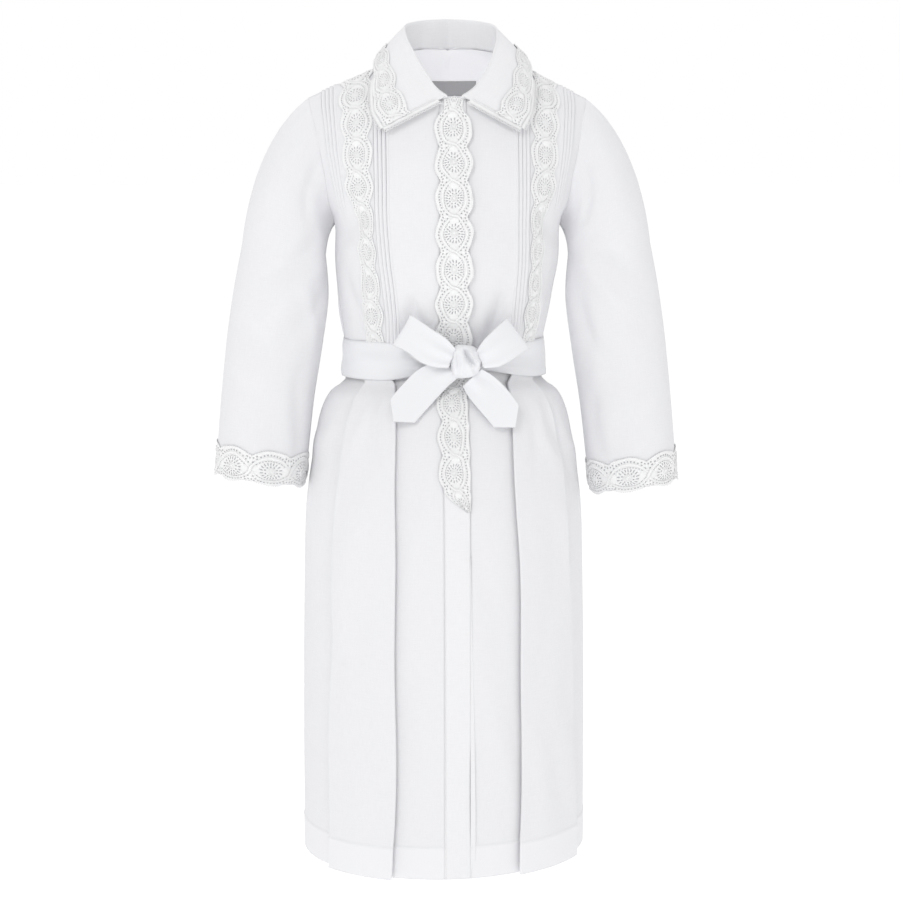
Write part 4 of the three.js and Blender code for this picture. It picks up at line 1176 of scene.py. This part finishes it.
def lace_strip(name, place, start, repeats, inside,
               half=plain_half, high_half=plain_half, hand=1, lift=0.9):
    """Lace from start to start + repeats. half and high_half give its low and high edge at a mm
    along, and hand is the slant on which a tape passes over the other."""
    start, end = start * REPEAT, (start + repeats) * REPEAT

    def fitted(a, b, lift=lift):
        a, b = a + 0.9 * np.sin(0.23 * b + 0.047 * a), b + 0.6 * np.sin(0.19 * a + 0.11 * b + start)
        a = np.clip(a, start, end)
        plain = plain_half(a)
        share = (b + plain) / (2 * plain)
        return place(a - start, mix(-half(a), high_half(a), share), lift)

    def raised(tag, line, profile, height):
        offsets, heights = np.array(profile).T
        net = ribbon_points(line, offsets, height + heights[None, :], fitted)
        cloth_sheet(f"{name}_{tag}", net, inside, CORD, 0)

    along = np.linspace(start, end, round(repeats * 24) + 1)
    across = np.linspace(-1, 1, 13)[None, :] * plain_half(along)[:, None]
    flat_along = np.broadcast_to(along[:, None], across.shape)
    # The ground is a darker sheet under the holes, painted shade for what falls in them.
    painted_shade_net = fitted(flat_along.ravel(), across.ravel()).reshape(*across.shape, 3)
    cloth_sheet(name + "_painted_shade_ground", painted_shade_net, inside, PAINTED_HOLE_SHADE, 0.3, [name])
    holed_sheet(name + "_sheet", start, end, lambda a, b: fitted(a, b, lift + SHEET_LIFT), inside)
    fine = np.linspace(start, end, round(repeats * 44) + 1)
    phase = np.pi * fine / REPEAT
    crossing = np.abs((fine / REPEAT + 0.5) % 1 - 0.5) * REPEAT
    for tag, sign in (("tape_a", 1), ("tape_b", -1)):
        line = np.stack([fine, sign * np.sign(np.sin(phase)) * tape_swing(fine)], axis=-1)
        rising = np.sign(np.cos(phase)) * sign * hand
        over = np.where(rising > 0, 1.0, 0.0) * np.exp(-((crossing / 6) ** 2))
        raised(tag, line, TAPE_PROFILE, lift + TAPE_LIFT + over[:, None])
    for tag, way in (("edge_low", 1), ("edge_high", -1)):
        line = np.stack([fine, way * (0.8 - plain_half(fine))], axis=-1)
        raised(tag, line, EDGE_PROFILE, lift + EDGE_LIFT)
    centres = (np.arange(math.floor(start / REPEAT), math.ceil(end / REPEAT)) + 0.5) * REPEAT
    lines = [ring(c, r, 12) for c in centres if start + 6 < c < end - 6 for r in RINGS]
    teeth = np.arange(start + 1, end, TOOTH_PITCH)
    for way in (-1, 1):
        lines += [np.array([[a, way * (b - 1)], [a, way * (b + 0.9)]])
                  for a, b in zip(teeth, plain_half(teeth))]
    cords_mesh(name + "_cords", lines, fitted, 0.6, lift + CORD_LIFT)


# %% [markdown]
# The centre lace lies on the button band. Its plan is carried down the centre line by arc length.
# It is gathered in under the collar, on the skirt its right edge is cut straight along the band,
# and its end is cut off at a slant.
# %% Centre lace
CENTRE_REPEATS = 12
LACE_TOP_ROW, LACE_END_ROW = 16.97, 4.15
UNDER_COLLAR_HALF = 12.5


def rows_by_length(line_place, top_row, bottom_row, repeats):
    """Rows down a line on the front, and the place of each on a plan of so many repeats."""
    rows = np.linspace(top_row, bottom_row, 600)
    points = line_place(rows)
    down = np.concatenate([[0], np.cumsum(np.linalg.norm(np.diff(points, axis=0), axis=1))])
    print("one repeat is", round(down[-1] / repeats, 1), "mm")
    return rows, down / down[-1] * repeats * REPEAT


centre_rows, centre_down = rows_by_length(
    lambda t: front_place(t, np.zeros_like(t), 0), LACE_TOP_ROW, LACE_END_ROW, CENTRE_REPEATS)


def centre_place(a, b, lift):
    t = np.interp(a, centre_down, centre_rows)
    flat = front_place(t, b, 0)
    crease = crease_height(flat[..., 0], flat[..., 2], FRONT_CREASES)
    loose = 4.5 * eased(b, 13, 26)
    return posed(front_place(t, b, lift + crease + 0.6 + loose))


def centre_half(a, down):
    return mix(UNDER_COLLAR_HALF, plain_half(a), eased(down, 0.25 * REPEAT, 0.5 * REPEAT))


def centre_low(a):
    down = a - LACE_PHASE * REPEAT
    cut = np.clip(1 - (CENTRE_REPEATS * REPEAT - down) / (0.6 * REPEAT), 0, 1)
    return mix(centre_half(a, down), -13.0, cut)


def centre_high(a):
    down = a - LACE_PHASE * REPEAT
    on_skirt = eased(-np.interp(down, centre_down, centre_rows), -8, -7)
    return mix(centre_half(a, down), BAND_HALF, on_skirt)


lace_strip("centre_lace", centre_place, LACE_PHASE, CENTRE_REPEATS, BODY_MIDDLE,
           half=centre_low, high_half=centre_high)

# %% [markdown]
# Each front has a strip between its two groups of tucks. It follows the tuck line, so it leans with
# the chest and ends under the sash. Below the armpit it is gathered in with the cloth, so it is
# narrower.
# %% Side lace
SIDE_MIDDLE, SIDE_REPEATS, SIDE_END_ROW = 49.8, 9, 9.7
GATHERED_ROW, GATHERED_TO = 14.5, 0.58


def beside_tucks(t, across, lift):
    tuck = angle_at(FRONT, t, straight(FOLDS["tuck"], t))
    reach = lifted(FRONT, t, tuck, 0 * t)[1]
    return lifted(FRONT, t, tuck + across / reach, lift)[0]


side_rows, side_down = rows_by_length(
    lambda t: beside_tucks(t, np.full_like(t, SIDE_MIDDLE), 0 * t),
    SHOULDER_ROW - 0.1, SIDE_END_ROW, SIDE_REPEATS)


def side_place_for(side):
    def place(a, b, lift):
        t = np.interp(a, side_down, side_rows)
        gathered = mix(1.0, GATHERED_TO, eased(GATHERED_ROW - t, 0, 1.5))
        b = gathered * (b + LACE_HALF) - LACE_HALF
        flat = beside_tucks(t, SIDE_MIDDLE + b, 0 * t)
        crease = crease_height(side * flat[..., 0], flat[..., 2], FRONT_CREASES)
        points = beside_tucks(t, SIDE_MIDDLE + b, lift + crease)
        points[..., 0] *= side
        return posed(points)
    return place


for tag, side in (("right", -1), ("left", 1)):
    lace_strip("side_lace_" + tag, side_place_for(side), LACE_PHASE, SIDE_REPEATS, BODY_MIDDLE,
               hand=-1, lift=0.5)

# %% [markdown]
# The collar has the same lace, a little smaller, on the outer half of its leaf. The cuffs have it
# round the sleeve, with its lower bulges below the hem.
# %% Collar and cuff lace
COLLAR_HALF = 7.17 * REPEAT  # on the plan, from the middle of the back to an end
CUFF_LOBES = 7
COLLAR_INSIDE = (0, 0, -70)
ON_LEAF = (0.52, 0.97)  # the lace's inner and outer line, as shares of the leaf from fold to edge
end_to_back = np.linspace(0.06, LAST_STATION, 400)
collar_middle = leaf_place(end_to_back, np.full_like(end_to_back, 0.78))
collar_along = lengths_along(collar_middle[:, None], 0)
print("half of the collar lace:", round(collar_along[-1]), "mm")


def collar_place(a, b, lift):
    left = 1 - np.abs(a - COLLAR_HALF) / COLLAR_HALF
    s = np.interp(left * collar_along[-1], collar_along, end_to_back)
    share = mix(*ON_LEAF, (b + LACE_HALF) / (2 * LACE_HALF))
    points = leaf_place(s, share, lift + 0.3)
    points[..., 0] *= np.where(a < COLLAR_HALF, -1, 1)
    return posed(points)


def collar_high(a):
    return LACE_HALF + 0.3 * scallop(a / REPEAT)


lace_strip("collar_lace", collar_place, -COLLAR_HALF / REPEAT, 2 * COLLAR_HALF / REPEAT,
           COLLAR_INSIDE, high_half=collar_high)


def cuff_place_for(side, creases):
    def place(a, b, lift):
        turn = (a / (CUFF_LOBES * REPEAT) + 0.5) * TURN
        section = mix(4.1, 5.0, np.clip((b + LACE_HALF) / (2 * LACE_HALF), 0, 1))
        points = sleeve_ring(section, turn, 0.5 + lift)
        centre = np.stack([smooth(SLEEVE[axis], section) for axis in "xyz"], axis=-1)
        points = sleeve_creased(points, centre, turn % TURN, creases)
        beyond = np.maximum(np.abs(b) - LACE_HALF, 0) * np.sign(b)
        points[..., 2] -= beyond
        points[..., 0] += 0.1 * beyond
        points[..., 0] *= side
        return posed_sleeve(points)
    return place


for tag, side, creases in SLEEVES:
    lace_strip("cuff_lace_" + tag, cuff_place_for(side, creases), 0, CUFF_LOBES,
               sleeve_middle(side), hand=side, lift=0.3)

# %% [markdown]
# A narrow edging is sewn under the collar's front and lower edges: a row of small loops of cord on
# a thin strip. Two lines of stitches run on the leaf, just inside its front edge. Both follow the
# leaf's surface.
# %% Collar edging and stitches
EDGING_WIDTH = 4.2
LOOP_PITCH, LOOP_RADIUS = 4.4, 1.7
STITCH, STITCH_GAP = 2.0, 1.1
STITCH_ROWS = (-1.2, -4.2)


def past_front_edge(share, out, lift):
    """Points out mm beyond the leaf's front edge; share runs from its fold to its tip."""
    edge = leaf_place(np.zeros_like(share), share, lift)
    inner = leaf_place(np.full_like(share, 0.12), share, lift)
    return edge + along_unit(edge - inner) * out[..., None]


def past_lower_edge(s, out, lift):
    """The same beyond its lower edge; s runs over the stations of the collar."""
    edge = leaf_place(s, np.ones_like(s), lift)
    inner = leaf_place(s, np.full_like(s, 0.92), lift)
    return edge + along_unit(edge - inner) * out[..., None]


for tag, side in (("right", -1), ("left", 1)):
    for part, beyond, values in (("front", past_front_edge, np.linspace(0.1, 1, 200)),
                                 ("lower", past_lower_edge, np.linspace(0, 2.6, 200))):
        length = lengths_along(beyond(values, 0 * values, 0.0)[:, None], 0)

        def edging_place(a, b, lift, beyond=beyond, length=length, values=values, side=side):
            value = np.interp(a, length, values)
            return posed(beyond(value, b, lift) * [side, 1, 1])

        down, out = np.meshgrid(np.linspace(0, length[-1], 60), np.linspace(-1.5, EDGING_WIDTH, 5),
                                indexing="ij")
        strip = edging_place(down.ravel(), out.ravel(), 0.3).reshape(*down.shape, 3)
        name = f"collar_edging_{part}_{tag}"
        cloth_sheet(name, strip, ABOVE_NECK, CORD, 0.5)
        centres = np.arange(1.5, length[-1], LOOP_PITCH)
        loops = [ring(c, LOOP_RADIUS, 8) + [0, EDGING_WIDTH + 1] for c in centres]
        cords_mesh(name + "_loops", loops, edging_place, 0.6, 0.9)
        if part == "front":
            starts = np.arange(2, length[-1] - 3, STITCH + STITCH_GAP)
            stitches = [np.array([[a, row], [a + STITCH, row]]) for row in STITCH_ROWS for a in starts]
            cords_mesh(name + "_stitches", stitches, edging_place, 0.5, 1.1)

# %% [markdown]
# The sash goes round the waist and is drawn narrow towards the knot, so soft folds run along it
# there. It is a tube with open edges, made like the other sheets.
# %% Sash band
SASH_TOP_ROW, SASH_BOTTOM_ROW = 10.06, 8.15
SASH_LIFT = 4.6
KNOT_X = 14


def sash_net(columns=240, rows=20):
    around = np.linspace(0, 2 * np.pi, columns + 1)
    side = np.where(np.sin(around) < 0, -1.0, 1.0)
    phi = np.arcsin(np.abs(np.sin(around)))
    in_front = np.cos(around) > 0
    at_waist = side * lifted(FRONT, np.full_like(phi, 9.0), phi, 0 * phi)[0][..., 0]
    distance = np.where(in_front, np.abs(at_waist - KNOT_X), 200.0)
    full = mix(0.42, 1.0, eased(distance, 12, 118))
    middle = (SASH_TOP_ROW + SASH_BOTTOM_ROW) / 2 + 0.1 * (1 - full)
    up = np.linspace(-0.5, 0.5, rows + 1)[:, None]
    t = middle + up * (SASH_TOP_ROW - SASH_BOTTOM_ROW) * full
    near = 1 - eased(distance, 8, 105)
    gather = near * 1.3 * np.sin(up * 21 + 0.6 + at_waist * 0.004) + 0.5 * np.sin(up * 9 + around * 5)
    hem = 0.35 * np.exp(-(((0.5 - np.abs(up)) * 55 - 3.5) / 0.9) ** 2)
    lift = SASH_LIFT + gather - hem - 3.2 * (2 * np.abs(up)) ** 5
    phi = np.broadcast_to(phi, t.shape)
    in_front = in_front[None, :, None]
    points = np.where(in_front, lifted(FRONT, t, phi, lift)[0], lifted(BACK, t, phi, lift)[0])
    points[..., 0] *= side
    points[:, -1] = points[:, 0]
    return posed(points)


cloth_sheet("sash_band_cloth", sash_net(), (0, 0, -430), SASH, 0.8, ["sash_band"],
            closed=True)

# %% [markdown]
# Each loop and tail of the bow is a ribbon that follows a middle line. Half its width, turned the
# way the ribbon lies, is given beside each point. Folds start at the knot and fade out along the
# ribbon.
# %% Bow ribbons
RIBBON = ("x", "y", "z", "lean_x", "lean_y", "lean_z")
RIBBONS = {
    "bow_loop_right": [
        (-5.4, -116, -424, -2, 0, -9), (-24, -113.5, -412, -8.5, 0, -17), (-52, -111, -394, -12, 0, -20),
        (-75, -110, -381, -12.5, 0, -20.5), (-82, -113.5, -378, -12.5, 0, -20.5),
        (-77, -119, -379, -12.5, 0, -20.5), (-53, -127, -391, -12.5, 0, -20.5),
        (-25, -132, -406, -10.5, 0, -19.5), (-4.4, -130, -416, -5, 0, -13),
    ],
    "bow_loop_left": [
        (36.6, -118, -424, 2, 0, -9), (50, -115, -412, 8, 0, -16), (69, -112, -399, 13, 0, -19),
        (84, -110.5, -387, 15.5, 0, -21), (90, -114, -384, 15.5, 0, -21.5),
        (86, -120, -385, 15.5, 0, -21), (69, -129, -396, 14, 0, -20),
        (50, -133.5, -409, 10.5, 0, -18.5), (34.6, -131, -418, 5, 0, -12),
    ],
    "bow_tail_right": [
        (-3.2, -119, -432.3, 9, 0, -12), (-20, -121, -438, 13, 0, -15.5),
        (-38, -123, -451, 15.5, 0, -17.5), (-56, -126, -469, 16.5, 0, -17.5),
        (-72, -130, -486, 17, 0, -17),
    ],
    "bow_tail_left": [
        (24.5, -122.6, -442.9, -13, 0, -11.5), (36, -126, -455, -17, 0, -14),
        (48, -129, -468, -18, 0, -15.5), (60, -132, -482, -18, 0, -15.5),
        (70, -135, -495, -17.5, 0, -15.5),
    ],
}
TAIL_POINT = 20
BEHIND_TAILS = (15, -90, -415)
RIBBON_FOLDS = {  # number of folds across, depth in mm, how far along they reach, phase
    "bow_loop_right": (2.2, 1.7, 0.34, 0.4), "bow_loop_left": (2.0, 1.9, 0.34, 1.2),
    "bow_tail_right": (1.6, 1.5, 0.42, 0.2), "bow_tail_left": (1.7, 1.6, 0.42, 1.0),
}


def ribbon_net(name, per_row=8, columns=24):
    rows = columns_of(RIBBON, [(None, *row) for row in RIBBONS[name]])
    last = len(RIBBONS[name]) - 1
    t = np.linspace(0, last, last * per_row + 1)
    middle = np.stack([smooth(rows[c], t) for c in RIBBON[:3]], axis=-1)
    lean = np.stack([smooth(rows[c], t) for c in RIBBON[3:]], axis=-1)
    across = np.linspace(-1, 1, columns + 1)
    net = middle[:, None] + across[None, :, None] * lean[:, None]
    is_tail = "tail" in name
    if is_tail:
        way = along_unit(middle[-1] - middle[-2])
        share = eased(t, last * 0.55, last)
        net = net + (share[:, None] * (TAIL_POINT * (1 - np.abs(across)) + 1)[None, :])[..., None] * way
    count, depth, reach, phase = RIBBON_FOLDS[name]
    along = t / last
    from_knot = along if is_tail else np.minimum(along, 1 - along)
    fade = np.exp(-(from_knot / (reach * (1.0 if is_tail else 0.6))) ** 2)[:, None]
    folds = depth * fade * np.sin(across[None, :] * np.pi * count + phase + along[:, None] * 2.2)
    edge = 0.35 * np.exp(-(((1 - np.abs(across)) * 18 - 2.6) / 0.8) ** 2)[None, :]
    soft = 0.6 * np.sin(along * 7 + 1)[:, None] * np.cos(across[None, :] * 2.4 + phase)
    normal = along_unit(np.cross(np.gradient(middle, axis=0), lean))
    if normal[-1, 1] > 0:
        normal = -normal
    return net + normal[:, None] * (folds + soft - edge)[..., None]


for name, rows in RIBBONS.items():
    in_loop = (sum(row[0] for row in rows) / len(rows), -121, -396)
    inside = BEHIND_TAILS if "tail" in name else in_loop
    cloth_sheet(name + "_cloth", posed(ribbon_net(name)), inside, SASH, 1.0, [name])

# %% [markdown]
# The knot is the sash wrapped once over the bow's middle: a short wide band from top to bottom,
# with its sides drawn in, a flat left edge and one deep slanting fold.
# %% Knot
KNOT = {"x": 15.5, "y": -121.4, "z": -421, "width": 21, "depth": 15, "height": 23}
KNOT_CREASES = [  # x, z at one end, x, z at the other, width, depth
    (-4, 19, 12, -6, 3.2, -14.0),
    (2, 20, 20, -4, 3.2, 5.0),
    (-9, 17, -14, -18, 2.6, -3.4),
    (-15, 16, -18, -16, 2.2, 2.4),
    (-4, 10, -8, -22, 3.0, 2.4),
    (6, -8, 18, -20, 2.6, -4.0),
    (0, -12, 2, -24, 2.2, -2.2),
]


def knot_net(rows=48, columns=40):
    turn = np.linspace(0, 2 * np.pi, rows + 1)[:, None]
    across = np.linspace(-1, 1, columns + 1)[None, :]
    full = (1 - np.abs(across) ** 3.2) ** 0.42
    x = KNOT["width"] * across + 0 * turn
    y = -KNOT["depth"] * full * np.cos(turn)
    z = KNOT["height"] * full * np.sin(turn) * (1 - 0.1 * across)
    dent = crease_height(x, z, KNOT_CREASES) * np.clip(np.cos(turn), 0, 1)
    points = np.stack([x, y - dent, z], axis=-1)
    points[-1] = points[0]
    return points + [KNOT["x"], KNOT["y"], KNOT["z"]]


cloth_sheet("sash_knot_cloth", posed(knot_net()), (KNOT["x"], KNOT["y"], KNOT["z"]), SASH, 0.8,
            ["sash_knot"], closed=True)

# %% [markdown]
# A grey tape is sewn on the inside of the back of the neck. It is left bare.
# %% Neck tape
LABEL_HALF, LABEL_LOW, LABEL_HIGH = 43, -56, -35


def label_net(columns=36, rows=8):
    """A straight tape: at each place across, the row of the back that lies at its height is found."""
    net = []
    for across in np.linspace(-1, 1, columns + 1):
        t = np.linspace(15.5, NECK_BACK_ROW, 80)
        phi = angle_at(BACK, t, np.full_like(t, LABEL_HALF * abs(across)))
        column = lifted(BACK, t, phi, np.full_like(t, -1.6))[0]
        column[:, 0] *= np.sign(across)
        heights = np.linspace(LABEL_LOW, LABEL_HIGH, rows + 1)
        net.append(np.stack([np.interp(heights, column[:, 2], column[:, k]) for k in range(3)], axis=-1))
    return posed(np.swapaxes(np.array(net), 0, 1))


cloth_sheet("neck_label_tape", label_net(), (0, 400, 0), TAPE, 0.4, ["neck_label"])


def sheet(name, flat, held):
    print(name, "was cut", flat, "m and is", held)


sheet("front_right_cloth", (0.45, 1.17), "hung")
sheet("front_left_cloth", (0.45, 1.17), "hung")
sheet("back_cloth", (0.92, 1.17), "hung")
sheet("button_band_cloth", (0.036, 1.105), "hung")
sheet("under_band_cloth", (0.042, 1.105), "hung")
sheet("sleeve_right_cloth", (0.4, 0.62), "hung")
sheet("sleeve_left_cloth", (0.4, 0.63), "hung")
sheet("collar_cloth", (0.12, 0.56), "folded")
sheet("centre_lace_painted_shade_ground", (0.051, 0.6), "laid")
sheet("side_lace_right_painted_shade_ground", (0.051, 0.41), "gathered")
sheet("side_lace_left_painted_shade_ground", (0.051, 0.41), "gathered")
sheet("collar_lace_painted_shade_ground", (0.036, 0.6), "laid")
sheet("cuff_lace_right_painted_shade_ground", (0.051, 0.37), "laid")
sheet("cuff_lace_left_painted_shade_ground", (0.051, 0.37), "laid")
sheet("sash_band_cloth", (0.055, 0.8), "gathered")
sheet("bow_loop_right_cloth", (0.042, 0.175), "folded")
sheet("bow_loop_left_cloth", (0.042, 0.155), "folded")
sheet("bow_tail_right_cloth", (0.048, 0.11), "hung")
sheet("bow_tail_left_cloth", (0.048, 0.095), "hung")
sheet("sash_knot_cloth", (0.07, 0.105), "folded")
sheet("neck_label_tape", (0.088, 0.021), "laid")

# %% [markdown]
# The last cell brings the scene up to date. Cloth may stand a few millimetres proud of the CAD
# box, and no more.
# %% Finish
bpy.context.view_layer.update()
